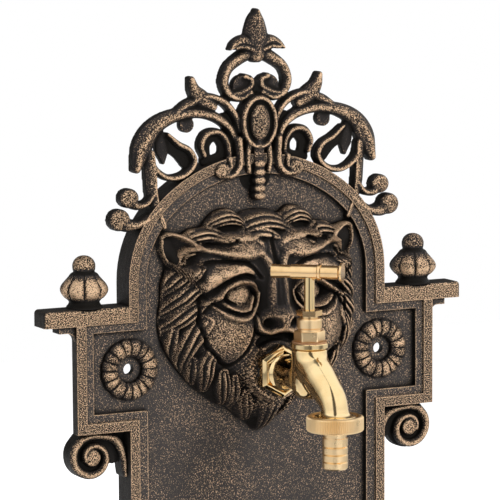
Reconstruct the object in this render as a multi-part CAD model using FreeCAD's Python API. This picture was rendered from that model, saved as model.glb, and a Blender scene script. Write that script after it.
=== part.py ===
import FreeCAD
import Part
import math
import os

os.makedirs("parts", exist_ok=True)

V = FreeCAD.Vector

# Frame: millimetres, X to the right, Y into the wall, Z up.
# The wall plane is Y = 0 and the origin is midway between the two wall-screw holes.

# Back panel
PANEL_DEPTH = 18.0
PANEL_WALL = 6.0
FIELD_DEPTH = 12.5
FIELD_THICKNESS = 4.5
STEP_DROP = 1.5
PIER_HALF = 86.0
BAND_WIDTH = 6.0
STEP_WIDTH = 6.0
ARCH_SPRING_Z = 51.0
ARCH_RISE = 73.5
ARCH_SIDE_R = 66.0
PANEL_FOOT_Z = -372.0
RECESS_FOOT_Z = -288.0

# Wings and the wall-screw holes
WING_HALF = 120.0
WING_TOP_Z = 28.5
WING_BOTTOM_Z = -36.0
WING_THICKNESS = 10.0
WING_BEVEL = 2.8
WING_BAND = 6.2
WING_STEP = 5.0
SCREW_FROM_EDGE = 35.5
SCREW_HOLE_R = 3.3
SPACER_R = 11.0
SPACER_BORE_R = 8.0
SPACER_GAP = 2.0

# Shelves
SHELF_OVERHANG = 20.0
SHELF_THICKNESS = 9.8
SHELF_DEPTH = 16.0
SHELF_ROUND = 2.4
UNDER_REACH = 10.0
UNDER_DEPTH = 10.0
UNDER_THICKNESS = 4.0
UNDER_SETBACK = 2.5
CAVETTO_R = 5.0

# Finials
FINIAL_FROM_EDGE = 9.0
FINIAL_DEPTH = 9.0
FINIAL_HEIGHT = 30.8
FINIAL_FOOT_R = 10.8
FINIAL_WAIST_R = 9.0
FINIAL_BULB_R = 14.6
FINIAL_KNOB_R = 6.8
FINIAL_LOBES = 8
FINIAL_GROOVE_R = 1.3
STUD_R = 2.5
STUD_LENGTH = 5.5

# Rosettes
ROSETTE_R = 18.5
ROSETTE_RING_R = 13.0
ROSETTE_HEIGHT = 6.5
ROSETTE_DISH_R = 7.6
ROSETTE_LOBES = 16
LOBE_GROOVE_R = 1.1

# Volutes
VOLUTE_OUT = 21.5
VOLUTE_DROP = 15.5
VOLUTE_R = 16.0
VOLUTE_DEPTH = 13.0
VOLUTE_BAND = 5.0
VOLUTE_EYE_R = 5.5
VOLUTE_TURNS = 1.2
VOLUTE_WEB = 7.0
VOLUTE_START_DEG = 60.0
VOLUTE_TIP = 3.0

# Crest
CREST_DEPTH = 18.0
CREST_THICKNESS = 9.0
CREST_SQUARES = 85
OVERLAY_DEPTH = 22.0
MEDALLION_RISE = 18.5
MEDALLION_HALF_X = 12.0
MEDALLION_HALF_Z = 16.0
MEDALLION_DEPTH = 21.0
CABOCHON_HALF_X = 6.8
CABOCHON_HALF_Z = 11.2
CABOCHON_DEPTH = 24.0

# Lion mask
MASK_CENTRE_Z = 27.5
MASK_R = 61.0
MASK_EAR = 17.0
MASK_HEIGHT = 31.0
MASK_WALL = 5.0
MASK_HOLLOW_SCALE = 0.90
MASK_GRID = 4.5
MASK_OPENING_R = 44.0
MOUTH_BOSS_R = 17.0
MOUTH_BOSS_THICKNESS = 6.0
MOUTH_FACE_DEPTH = 42.5

# Tap: places are depths in front of the wall
INLET_Z = -3.0
INLET_R = 10.48
INLET_HOLE_CLEARANCE = 0.2
INLET_BORE_R = 4.5
INLET_END_DEPTH = 20.0
INLET_NUT_AF = 25.0
INLET_NUT_THICKNESS = 5.5
INLET_NUT_ROOM = 0.8
INLET_RUNOUT = 1.0
RUNOUT_DROP = 0.7
WASHER_THICKNESS = 1.5
COLLAR_AF = 27.5
COLLAR_THICKNESS = 6.0
NECK_R = 8.8
SPINDLE_DEPTH = 81.5
SPOUT_DEPTH = 112.5
GLOBE_R = 10.8
GLOBE_Z = -3.5
BODY_R = 10.2
RIM_R = 11.1
RIM_THICKNESS = 3.2
BODY_TOP_Z = 19.0
CHAMBER_R = 7.95
CHAMBER_FLOOR_Z = 2.0
SEAT_LIP_Z = 2.5
SEAT_R = 3.8
SEAT_LIP_R = 5.2
SEAT_MARGIN = 0.3
SPOUT_START = 3.0
SPOUT_R = 7.8
SPOUT_BORE_R = 4.2
SPOUT_SLOPE_DEG = 37.0
SPOUT_BEND_R = 14.0
SPOUT_FLARE_R = 10.5
SPOUT_THREAD_R = 13.15
SPOUT_THREAD_TOP_Z = -20.5
SPOUT_END_Z = -23.8

# Headwork
THREAD_GAP = 0.05
SEAL_THICKNESS = 0.8
BONNET_AF = 16.0
BONNET_HEX_HEIGHT = 6.4
BONNET_R = 7.4
BONNET_TOP_Z = 33.3
BONNET_SHANK_Z = 11.0
FACET_TURN_DEG = 27.0
GLAND_AF = 13.0
GLAND_HEX_Z = 35.0
GLAND_HEX_HEIGHT = 3.2
GLAND_SHANK_R = 5.1
GLAND_SHANK_LENGTH = 5.5
PACKING_HEIGHT = 3.0
STEM_R = 3.15
STEM_THREAD_R = 4.0
STEM_THREAD_Z = 11.5
STEM_THREAD_LENGTH = 10.5
STEM_FOOT_R = 3.4
STEM_SPIGOT_R = 2.3
HUB_SEAT = 2.6
HANDLE_Z = 60.5
HANDLE_TURN_DEG = -41.5
HANDLE_HUB_R = 4.35
HUB_BACK = 10.5
HUB_FRONT = 5.1
GRIP_R = 4.1
GRIP_BACK_END = 22.2
GRIP_FRONT_END = 17.5
COLLAR_R = 5.2
END_DISC_R = 5.8
HANDLE_END = 20.1

# Jumper valve
JUMPER_R = 6.2
JUMPER_THICKNESS = 1.5
JUMPER_STEM_R = 2.0
JUMPER_STEM_LENGTH = 6.0
VALVE_WASHER_R = 6.0
VALVE_WASHER_THICKNESS = 2.5
JUMPER_NUT_R = 2.8
JUMPER_NUT_THICKNESS = 1.4

# Hose connector
UNION_R = 16.7
UNION_TOP_Z = -19.4
UNION_BOTTOM_Z = -28.4
UNION_SHOULDER = 1.8
UNION_GAP = 0.07
UNION_HOLE_R = 7.5
TAIL_COLLAR_R = 12.0
TAIL_COLLAR_THICKNESS = 1.4
TAIL_R = 7.4
TAIL_SHANK_R = 7.2
TAIL_NECK_R = 6.6
TAIL_NECK_DROP = 2.2
TAIL_NECK_WIDTH = 1.8
TAIL_BORE_R = 5.0
TAIL_END_Z = -50.6
TAIL_END_CHAMFER = 0.8
TAIL_RINGS = 3
TAIL_RING_PITCH = 4.4
TAIL_GROOVE = 0.5

# Basin
BASIN_CENTRE_DEPTH = 75.0
BASIN_TOP_Z = -296.0
BASIN_BOTTOM_Z = -384.0
BASIN_WALL = 8.0
BASIN_LIP_DROP = 11.0
BASIN_LIP_IN = 10.0
BASIN_FLOOR_R = 40.0
BASIN_BACK_WALL = 7.0

# Basin bolts, metric 6
BOLT_X = 45.0
BOLT_ROWS_Z = (-318.0, -346.0)
BOLT_R = 3.0
BOLT_HOLE_R = 3.3
BOLT_HEAD_AF = 10.0
BOLT_HEAD_HEIGHT = 4.0
BOLT_SEAL_R = 7.0
BOLT_SEAL_THICKNESS = 1.5
BOLT_WASHER_R = 6.0
BOLT_WASHER_THICKNESS = 1.6
BOLT_NUT_HEIGHT = 5.0
BOLT_END = 0.8

# Drain, one inch
DRAIN_R = 16.62
DRAIN_HOLE_R = 17.3
DRAIN_BORE_R = 14.0
DRAIN_FLANGE_R = 23.0
DRAIN_FLANGE_THICKNESS = 2.5
DRAIN_GASKET_THICKNESS = 2.0
DRAIN_TAIL_END_Z = -420.0
DRAIN_WASHER_R = 24.0
DRAIN_WASHER_THICKNESS = 2.0
DRAIN_NUT_AF = 42.0
DRAIN_NUT_HEIGHT = 9.0
DRAIN_BAR = 2.5
DRAIN_SLOT_PITCH = 7.0
DRAIN_RUNOUT = 2.0

# Values worked out from the sizes above
FRONT_Y = -PANEL_DEPTH
FIELD_Y = -FIELD_DEPTH
HOLLOW_Y = FIELD_Y + FIELD_THICKNESS
WING_BACK_Y = FRONT_Y + WING_THICKNESS
ARCH_SIDE_X = PIER_HALF - ARCH_SIDE_R
ARCH_TOP_R = (ARCH_SIDE_X ** 2 + ARCH_RISE ** 2 - ARCH_SIDE_R ** 2) / (2 * (ARCH_RISE - ARCH_SIDE_R))
ARCH_TOP_Z = ARCH_SPRING_Z + ARCH_RISE
SHELF_TOP_Z = WING_TOP_Z + SHELF_THICKNESS
SHELF_HALF = WING_HALF + SHELF_OVERHANG
SCREW_X = WING_HALF - SCREW_FROM_EDGE
FINIAL_X = WING_HALF - FINIAL_FROM_EDGE
VOLUTE_X = PIER_HALF + VOLUTE_OUT
VOLUTE_Z = WING_BOTTOM_Z - VOLUTE_DROP
# The crest is drawn in squares, with this many from the middle to the pier's side
SQUARE = PIER_HALF / CREST_SQUARES
MEDALLION_Z = ARCH_TOP_Z + MEDALLION_RISE
MOUTH_FACE_Y = -MOUTH_FACE_DEPTH
COLLAR_BACK_Y = MOUTH_FACE_Y - WASHER_THICKNESS
COLLAR_FRONT_Y = COLLAR_BACK_Y - COLLAR_THICKNESS
MOUTH_BACK_Y = MOUTH_FACE_Y + MOUTH_BOSS_THICKNESS
SPINDLE_Y = -SPINDLE_DEPTH
SPOUT_Y = -SPOUT_DEPTH
BASIN_R = WING_HALF
BASIN_Y = -BASIN_CENTRE_DEPTH
BASIN_INNER_Y = FRONT_Y - BASIN_BACK_WALL
BASIN_FLOOR_Z = BASIN_BOTTOM_Z + BASIN_WALL

UP = V(0, 0, 1)
OUT = V(0, -1, 0)


def export(name, shape):
    if not shape.isValid():
        print("not valid:", name)
    shape.exportStep("parts/" + name + ".step")
    print(name, len(shape.Solids), "solids", round(shape.Volume / 1000.0, 2), "cm3")


def cylinder(radius, start, along, length):
    return Part.makeCylinder(radius, length, start, along)


def ring(outer, inner, start, along, length):
    return cylinder(outer, start, along, length).cut(cylinder(inner, start, along, length))


def box(x0, x1, y0, y1, z0, z1):
    return Part.makeBox(x1 - x0, y1 - y0, z1 - z0, V(x0, y0, z0))


def hexagon(across_flats, start, along, height, turn_deg):
    # A prism with a face normal at turn_deg, standing on start and rising along its axis.
    corner = across_flats / math.sqrt(3)
    points = []
    for k in range(7):
        a = math.radians(turn_deg + 30 + 60 * k)
        points.append(V(corner * math.cos(a), corner * math.sin(a), 0))
    prism = Part.Face(Part.makePolygon(points)).extrude(V(0, 0, height))
    prism.Placement = FreeCAD.Placement(start, FreeCAD.Rotation(UP, along))
    return prism


def revolved(profile, x, y):
    # Turns a closed outline of (radius, z) points about the vertical through x, y.
    points = [V(r, 0, z) for r, z in profile]
    face = Part.Face(Part.makePolygon(points + points[:1]))
    solid = face.revolve(V(0, 0, 0), UP, 360)
    solid.translate(V(x, y, 0))
    return solid


def mirrored(shape):
    return shape.mirror(V(0, 0, 0), V(1, 0, 0))


def arc(a, middle, b):
    return Part.Arc(a, middle, b).toShape()


def edge_at(edge, x=None, y=None, z=None):
    # True where every end of the edge lies at the given coordinates.
    wanted = [(k, v) for k, v in (("x", x), ("y", y), ("z", z)) if v is not None]
    ends = [v.Point for v in edge.Vertexes]
    return all(abs(getattr(p, k) - v) < 1e-6 for p in ends for k, v in wanted)


def panel_outline(inset, wing_half, wing_top, wing_bottom, foot):
    # The arched outline with its wings, as a closed wire in the plane Y = 0.
    half = PIER_HALF - inset
    side = ARCH_SIDE_R - inset
    top = ARCH_TOP_R - inset
    top_z = ARCH_TOP_Z - ARCH_TOP_R
    lean = math.atan2(ARCH_SPRING_Z - top_z, ARCH_SIDE_X)
    join = V(ARCH_SIDE_X + side * math.cos(lean), 0, ARCH_SPRING_Z + side * math.sin(lean))
    low = V(ARCH_SIDE_X + side * math.cos(lean / 2), 0, ARCH_SPRING_Z + side * math.sin(lean / 2))
    edges = []
    corners = [(half, ARCH_SPRING_Z), (half, wing_top), (wing_half, wing_top)]
    corners += [(wing_half, wing_bottom), (half, wing_bottom), (half, foot)]
    for sign in (1, -1):
        spring = V(sign * half, 0, ARCH_SPRING_Z)
        edges.append(arc(spring, V(sign * low.x, 0, low.z), V(sign * join.x, 0, join.z)))
        for (xa, za), (xb, zb) in zip(corners, corners[1:]):
            if (xa, za) != (xb, zb):
                edges.append(Part.makeLine(V(sign * xa, 0, za), V(sign * xb, 0, zb)))
    edges.append(arc(join, V(0, 0, top_z + top), V(-join.x, 0, join.z)))
    edges.append(Part.makeLine(V(half, 0, foot), V(-half, 0, foot)))
    return Part.Wire(Part.__sortEdges__(edges))


def slab(wire, y_front, y_back):
    face = Part.Face(wire)
    face.translate(V(0, y_front, 0))
    return face.extrude(V(0, y_back - y_front, 0))


def outline_slab(y_front, y_back, inset=0.0):
    half = PIER_HALF - inset
    wire = panel_outline(inset, half + 1.0, WING_TOP_Z, WING_BOTTOM_Z, PANEL_FOOT_Z + inset)
    trim = box(-half, half, y_front, y_back, PANEL_FOOT_Z + inset, ARCH_TOP_Z)
    return slab(wire, y_front, y_back).common(trim)


def make_back_plate():
    # Pier and arch at full depth, wings as thinner slabs set level with the front.
    plate = outline_slab(FRONT_Y, 0)
    for sign in (-1, 1):
        inner, outer = sorted((sign * PIER_HALF, sign * WING_HALF))
        wing = box(inner, outer, FRONT_Y, WING_BACK_Y, WING_BOTTOM_Z, WING_TOP_Z)
        rim = [e for e in wing.Edges if edge_at(e, x=sign * WING_HALF, y=WING_BACK_Y)]
        plate = plate.fuse(wing.makeChamfer(WING_BEVEL, rim))
    # Front: the flat band runs round the edge, then the step, then the sunk field.
    band = panel_outline(BAND_WIDTH, WING_HALF - WING_BAND, WING_TOP_Z,
                         WING_BOTTOM_Z + BAND_WIDTH, RECESS_FOOT_Z)
    plate = plate.cut(slab(band, FRONT_Y, FRONT_Y + STEP_DROP))
    step = panel_outline(BAND_WIDTH + STEP_WIDTH, WING_HALF - WING_BAND - WING_STEP,
                         WING_TOP_Z - WING_STEP, WING_BOTTOM_Z + BAND_WIDTH + WING_STEP,
                         RECESS_FOOT_Z + WING_STEP)
    plate = plate.cut(slab(step, FRONT_Y, FIELD_Y))
    # Back: a shallow hollow inside the rim, open to the back of each wing.
    plate = plate.cut(outline_slab(HOLLOW_Y, 0, PANEL_WALL))
    for sign in (-1, 1):
        window = box(PIER_HALF - PANEL_WALL - 1, PIER_HALF + 1, HOLLOW_Y, 0,
                     -SPACER_R - SPACER_GAP, SPACER_R + SPACER_GAP)
        plate = plate.cut(window if sign > 0 else mirrored(window))
        centre = V(sign * SCREW_X, 0, 0)
        spacer = ring(SPACER_R, SPACER_BORE_R, centre, OUT, -WING_BACK_Y)
        plate = plate.fuse(spacer)
        plate = plate.cut(cylinder(SCREW_HOLE_R, centre, OUT, PANEL_DEPTH))
    plate = plate.cut(cylinder(MASK_OPENING_R, V(0, 0, MASK_CENTRE_Z), OUT, PANEL_DEPTH))
    for x in (-BOLT_X, BOLT_X):
        for z in BOLT_ROWS_Z:
            plate = plate.cut(cylinder(BOLT_HOLE_R, V(x, 0, z), OUT, PANEL_DEPTH))
    return plate.removeSplitter()


def make_shelf():
    # The slab runs out level with the band; a thinner moulding and a cavetto carry it.
    back_y = FRONT_Y + SHELF_DEPTH
    shelf = box(PIER_HALF, SHELF_HALF, FRONT_Y, back_y, WING_TOP_Z, SHELF_TOP_Z)
    rounded = [e for e in shelf.Edges if edge_at(e, x=SHELF_HALF, y=FRONT_Y)
               or edge_at(e, x=SHELF_HALF, z=SHELF_TOP_Z) or edge_at(e, y=FRONT_Y, z=SHELF_TOP_Z)]
    shelf = shelf.makeFillet(SHELF_ROUND, rounded)
    under_y = FRONT_Y + UNDER_SETBACK
    under_back_y = under_y + UNDER_DEPTH
    under_z = WING_TOP_Z - UNDER_THICKNESS
    under = box(WING_HALF, WING_HALF + UNDER_REACH, under_y, under_back_y, under_z, WING_TOP_Z)
    corner = box(WING_HALF, WING_HALF + CAVETTO_R, under_y, WING_BACK_Y - WING_BEVEL,
                 under_z - CAVETTO_R, under_z)
    hollow = cylinder(CAVETTO_R, V(WING_HALF + CAVETTO_R, under_y, under_z - CAVETTO_R),
                      V(0, 1, 0), PANEL_DEPTH)
    shelf = shelf.fuse(under).fuse(corner.cut(hollow))
    stud_hole = cylinder(STUD_R + THREAD_GAP, V(FINIAL_X, -FINIAL_DEPTH, SHELF_TOP_Z),
                         V(0, 0, -1), STUD_LENGTH)
    return shelf.cut(stud_hole).removeSplitter()


def make_finial():
    # A round knob over a lobed bulb, a narrow waist and a spreading foot, on a stud.
    h = FINIAL_HEIGHT
    b = FINIAL_BULB_R
    k = FINIAL_KNOB_R
    z0 = SHELF_TOP_Z
    knob_z = z0 + h - k
    foot = V(FINIAL_FOOT_R, 0, z0)
    waist = V(FINIAL_WAIST_R, 0, z0 + 0.10 * h)
    belly = V(b, 0, z0 + 0.35 * h)
    neck_lean = math.radians(-18)
    neck = V(k * math.cos(neck_lean), 0, knob_z + k * math.sin(neck_lean))
    top = V(0, 0, z0 + h)
    flare = V((FINIAL_FOOT_R + FINIAL_WAIST_R) / 2 - 0.4, 0, z0 + 0.04 * h)
    edges = [
        Part.makeLine(V(0, 0, z0), foot),
        arc(foot, flare, waist),
        arc(waist, V(0.9 * b, 0, z0 + 0.24 * h), belly),
        arc(belly, V(0.80 * b, 0, z0 + 0.55 * h), neck),
        arc(neck, V(k * math.cos(0.6), 0, knob_z + k * math.sin(0.6)), top),
        Part.makeLine(top, V(0, 0, z0)),
    ]
    solid = Part.Face(Part.Wire(edges)).revolve(V(0, 0, 0), UP, 360)
    for i in range(FINIAL_LOBES):
        a = math.radians(360.0 / FINIAL_LOBES * (i + 0.5))
        toward = V(math.cos(a), math.sin(a), 0)
        start = toward * (b + 0.2) + V(0, 0, z0 + 0.20 * h)
        end = toward * (k + 1.6) + V(0, 0, z0 + 0.66 * h)
        middle = toward * (b + 0.1) + V(0, 0, z0 + 0.46 * h)
        path = Part.Wire(arc(start, middle, end))
        tangent = path.Edges[0].tangentAt(path.Edges[0].FirstParameter)
        section = Part.Wire(Part.makeCircle(FINIAL_GROOVE_R, start, tangent))
        solid = solid.cut(path.makePipeShell([section], True, False))
    solid = solid.fuse(cylinder(STUD_R, V(0, 0, z0), V(0, 0, -1), STUD_LENGTH))
    solid.translate(V(FINIAL_X, -FINIAL_DEPTH, 0))
    return solid


def make_rosette():
    # A ribbed ring on the field round the screw hole, with a dished middle.
    rise = ROSETTE_HEIGHT
    width = (ROSETTE_R - ROSETTE_DISH_R) / 2
    outer = V(ROSETTE_R, 0, 0)
    inner = V(ROSETTE_DISH_R, 0, 0)
    crown = V(ROSETTE_RING_R, 0, rise)
    side = 0.75
    edges = [
        Part.makeLine(inner, outer),
        arc(outer, V(ROSETTE_RING_R + side * width, 0, side * rise), crown),
        arc(crown, V(ROSETTE_RING_R - side * width, 0, side * rise), inner),
    ]
    solid = Part.Face(Part.Wire(edges)).revolve(V(0, 0, 0), UP, 360)
    for i in range(ROSETTE_LOBES):
        a = 2 * math.pi * i / ROSETTE_LOBES
        toward = V(math.cos(a), math.sin(a), 0)
        groove = cylinder(LOBE_GROOVE_R, toward * (ROSETTE_DISH_R - 1) + V(0, 0, rise),
                          toward, ROSETTE_R - ROSETTE_DISH_R + 2)
        solid = solid.cut(groove)
    solid.rotate(V(0, 0, 0), V(1, 0, 0), 90)
    solid.translate(V(SCREW_X, FIELD_Y, 0))
    return solid


def ribbon(points, widths, y_front, y_back):
    # A scroll stroke: a smooth line through points (x, z), as wide as widths give along it.
    line = Part.BSplineCurve()
    line.interpolate([V(x, 0, z) for x, z in points])
    first, last = line.FirstParameter, line.LastParameter
    steps = 2 * len(points)
    left, right = [], []
    for i in range(steps + 1):
        share = i / steps
        u = first + (last - first) * share
        t = line.tangent(u)[0]
        normal = V(-t.z, 0, t.x)
        place = share * (len(widths) - 1)
        k = min(int(place), len(widths) - 2)
        width = widths[k] + (widths[k + 1] - widths[k]) * (place - k)
        left.append(line.value(u) + normal * (width / 2))
        right.append(line.value(u) - normal * (width / 2))
    edges = []
    for side in (left, right):
        curve = Part.BSplineCurve()
        curve.interpolate(side)
        edges.append(curve.toShape())
    for u, a, b, sense in ((first, left[0], right[0], -1), (last, left[-1], right[-1], 1)):
        t = line.tangent(u)[0]
        reach = (a - b).Length / 2
        edges.append(arc(a, line.value(u) + V(t.x, 0, t.z) * (sense * reach), b))
    return slab(Part.Wire(Part.__sortEdges__(edges)), y_front, y_back)


def disc(x, z, radius, y_front, y_back):
    return cylinder(radius, V(x, y_front, z), V(0, 1, 0), y_back - y_front)


def spiral(x, z, outer, inner, start_deg, turns, hand):
    count = int(10 * turns)
    points = []
    for i in range(count + 1):
        share = i / count
        a = math.radians(start_deg + hand * 360 * turns * share)
        r = outer + (inner - outer) * share
        points.append((x + r * math.cos(a), z + r * math.sin(a)))
    return points


def make_volute():
    # A scroll bracket in the corner between the wing and the pier.
    y_front = -VOLUTE_DEPTH
    outer = VOLUTE_R - VOLUTE_BAND / 2
    coil = spiral(VOLUTE_X, VOLUTE_Z, outer, VOLUTE_EYE_R - 1, VOLUTE_START_DEG, VOLUTE_TURNS, -1)
    shape = ribbon(coil, [VOLUTE_BAND, VOLUTE_BAND, VOLUTE_TIP], y_front, 0)
    arm = ribbon([coil[0], (VOLUTE_X - 1, VOLUTE_Z + outer), (PIER_HALF + 8, VOLUTE_Z + 10.5),
                  (PIER_HALF + 2, VOLUTE_Z + 2), (PIER_HALF, VOLUTE_Z - 12)],
                 [VOLUTE_BAND, VOLUTE_BAND, VOLUTE_BAND, VOLUTE_TIP], y_front, 0)
    corner = box(PIER_HALF, VOLUTE_X - 6, -VOLUTE_WEB, 0, VOLUTE_Z - 3, WING_BOTTOM_Z)
    shape = shape.fuse([
        arm,
        corner,
        box(PIER_HALF, VOLUTE_X, -VOLUTE_WEB, 0, WING_BOTTOM_Z - VOLUTE_BAND, WING_BOTTOM_Z),
        disc(VOLUTE_X, VOLUTE_Z, VOLUTE_EYE_R, y_front, 0),
        disc(VOLUTE_X, VOLUTE_Z, outer, -VOLUTE_WEB, 0),
    ])
    shape = shape.cut(box(0, PIER_HALF, y_front - 1, 1, VOLUTE_Z - 40, 0))
    shape = shape.cut(box(0, WING_HALF + 20, y_front - 1, 1, WING_BOTTOM_Z, 0))
    return shape.removeSplitter()


def oval(half_x, half_z, z, y_front, y_back):
    wire = Part.Wire(Part.Ellipse(V(0, 0, 0), half_z, half_x).toShape())
    wire.rotate(V(0, 0, 0), UP, 90)
    wire.rotate(V(0, 0, 0), V(1, 0, 0), 90)
    wire.translate(V(0, 0, z))
    return slab(wire, y_front, y_back)


def crest_at(x, z):
    return V(x * SQUARE, 0, ARCH_TOP_Z + z * SQUARE)


def crest_stroke(points, widths, y_front, y_back):
    placed = [crest_at(x, z) for x, z in points]
    return ribbon([(p.x, p.z) for p in placed], [w * SQUARE for w in widths], y_front, y_back)


def crest_disc(x, z, radius, y_front, y_back):
    centre = crest_at(x, z)
    return disc(centre.x, centre.z, radius * SQUARE, y_front, y_back)


def make_crest(plate):
    # Right half of the openwork, as strokes (x, z) in squares from the middle and from the
    # arch's top; the left half is its mirror image.
    y0 = -CREST_DEPTH
    y1 = y0 + CREST_THICKNESS
    strokes = [
        # Great C-scroll, broadening to a leaf that turns down at the side
        ([(13, 3.5), (17, 14.5), (27, 22.5), (42, 25.5), (57, 23), (68, 16.5), (74, 6.5), (78, -5.5)],
         [4.6, 5, 6, 6.5, 8.5, 10.5, 12, 6]),
        # Inner curl, ending in a folded leaf
        ([(69, -1.5), (65, -7.5), (57, -12), (47, -10.5), (41, -3.5), (44, 3.5), (51, 7.5), (58, 13.5)],
         [4.6, 4, 4, 4.4, 4.4, 4, 3.8, 2.6]),
        ([(59, 16.5), (61, 8.5), (59.6, 1.5), (57, -6.5)], [2.4, 5.4, 5.8, 2]),
        # Side arm and its two lower curls
        ([(71, 2.5), (71, -9.5), (70.6, -20.5), (70.2, -27.5), (68, -34)], [6.5, 7, 6.6, 6.2, 5]),
        ([(70, -20.5), (73, -26), (78.4, -27), (82.6, -23.3)], [4, 4.2, 5.6, 9]),
        ([(69.8, -26), (72.5, -33), (78, -37.6), (84, -38.1), (88.6, -35.3)], [5.8, 5.6, 5.6, 8.4, 10.5]),
        # Branch from the medallion to the outer thorn
        ([(11.5, 13.5), (13.5, 21.5), (20, 29.9), (30, 34.1), (39, 33.1)], [4, 4.6, 4.8, 5, 6]),
        ([(29, 29), (36, 34), (40.4, 39), (42.2, 44.9)], [7, 10, 7.4, 4.2]),
        ([(36, 31.5), (44, 29.9), (53, 25.5)], [6.4, 6.4, 4]),
        # Lyre loop under the fleur
        ([(4, 59.5), (11, 55.9), (18, 50.5), (20.8, 42.7), (18, 35.9), (11, 33.1), (4, 35.9)],
         [8, 7.4, 6.4, 6, 5.8, 5.2, 4]),
    ]
    half = [crest_stroke(points, widths, y0, y1) for points, widths in strokes]
    half.append(crest_disc(45.2, 18.7, 4.5, y0, y1))
    half.append(crest_disc(26.8, 4.5, 10.8, y0, y1).cut(crest_disc(25.5, 3.5, 2.8, y0, y1)))
    half.append(crest_disc(83.2, -22.5, 6.0, y0, y1))
    half.append(crest_disc(89.4, -34.9, 6.8, y0, y1))
    half.append(crest_disc(7.2, 41.3, 5.2, y0, y1))
    # Closed ground between the medallion, the branch and the great scroll
    ground = [crest_at(0, -6.5), crest_at(20, -6.5), crest_at(22, 15.5), crest_at(17, 22.5),
              crest_at(9, 27.5), crest_at(6, 31.5), crest_at(6, 35.5), crest_at(0, 36.5)]
    half.append(slab(Part.makePolygon(ground + ground[:1]), y0, y1))
    # Fleur: a tall pointed middle leaf and a side leaf
    leaf_low = crest_at(8, 69.5)
    leaf_top = crest_at(0, 86)
    leaf_tip = crest_at(19.5, 64)
    stalk = crest_at(0, 55.5)
    stalk_side = crest_at(7, 57.5)
    leaf = [
        Part.makeLine(stalk, stalk_side),
        arc(stalk_side, crest_at(10.5, 62), leaf_tip),
        arc(leaf_tip, crest_at(15, 69.5), leaf_low),
        arc(leaf_low, crest_at(6.2, 77.5), leaf_top),
        Part.makeLine(leaf_top, stalk),
    ]
    half.append(slab(Part.Wire(leaf), y0, y1))
    shapes = half + [mirrored(s) for s in half]
    shapes.append(oval(MEDALLION_HALF_X, MEDALLION_HALF_Z, MEDALLION_Z, -MEDALLION_DEPTH, y1))
    shapes.append(oval(CABOCHON_HALF_X, CABOCHON_HALF_Z, MEDALLION_Z, -CABOCHON_DEPTH, y1))
    crest = shapes[0].multiFuse(shapes[1:])
    crest = crest.cut(outline_slab(-OVERLAY_DEPTH, 0))
    # Parts that lie over the front of the arch: the S-arms with their balls, stem and pendant
    y2 = -OVERLAY_DEPTH
    arm = crest_stroke([(13.2, 8.5), (12.6, -0.5), (13.4, -7.5), (18, -12.1), (23.5, -11.9)],
                       [4.8, 4.8, 4.8, 4.8, 5], y2, y1)
    ball = crest_disc(24, -9.3, 5.0, y2, y1)
    overlay = [arm, ball, mirrored(arm), mirrored(ball)]
    stem_z = crest_at(0, -12.5).z
    overlay.append(box(-3.2 * SQUARE, 3.2 * SQUARE, y2, y1, stem_z, MEDALLION_Z))
    overlay.append(box(-2.4 * SQUARE, 2.4 * SQUARE, y2, y1, crest_at(0, -24.5).z, stem_z + SQUARE))
    overlay.append(crest_disc(0, -15.5, 3.8, y2, y1))
    overlay.append(crest_disc(0, -23, 3.6, y2, y1))
    front = overlay[0].multiFuse(overlay[1:])
    return crest.fuse(front).cut(outline_slab(FIELD_Y, 0)).cut(plate)


def bump(x, z, cx, cz, rx, rz, height):
    return height * math.exp(-((x - cx) / rx) ** 2 - ((z - cz) / rz) ** 2)


def mask_edge(x, dz):
    # Radius of the outline: broad over the brow, pointed ears, drawn in to a beard below.
    phi = math.degrees(math.atan2(abs(x), dz))
    crown = 8 * math.exp(-(phi / 46) ** 6)
    ear = MASK_EAR * math.exp(-((phi - 51) / 8) ** 2)
    jaw = -7 * math.exp(-((phi - 140) / 28) ** 2)
    beard = 7.5 * math.exp(-((180 - phi) / 9) ** 2)
    return MASK_R + crown + ear + jaw + beard


def mask_relief(x, z):
    # Height of the mask above the field: a dome, then brows, eyes, nose, muzzle, ears and mane.
    dz = z - MASK_CENTRE_Z
    rho = math.hypot(x, dz) / mask_edge(x, dz)
    if rho < 1:
        h = MASK_HEIGHT * (1 - rho ** 2.6) ** 0.75
    else:
        h = -30 * (rho - 1)
    side = abs(x)
    h += bump(side, z, 24, 64, 17, 5, 4.0) + bump(side, z, 28, 55, 11, 5, 2.0)
    h += bump(side, z, 26, 44, 13, 8, -5.5) + bump(side, z, 26, 45, 8, 5.5, 4.5)
    h += bump(x, z, 0, 46, 6, 18, 3.0) + bump(x, z, 0, 28, 10, 7, 8.0)
    h += bump(side, z, 13, 40, 5, 12, -4.0)
    h += bump(side, z, 34, 24, 12, 13, 4.0) + bump(side, z, 15, 10, 9, 12, 5.0)
    h += bump(x, z, 0, 15, 11, 4.5, -13.0)
    h += bump(x, z, 0, -20, 14, 9, 4.5) + bump(x, z, 0, 74, 14, 7, 2.5)
    h += bump(side, z, 55, 70, 9, 11, 8.0) + bump(side, z, 55, 69, 5, 6, -7.0)
    angle = math.atan2(dz, x)
    fringe = max(0.0, min(1.0, (rho - 0.66) / 0.2)) * max(0.0, min(1.0, (1.05 - rho) / 0.2))
    h += 1.5 * fringe * math.cos(28 * angle)
    return h


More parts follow.
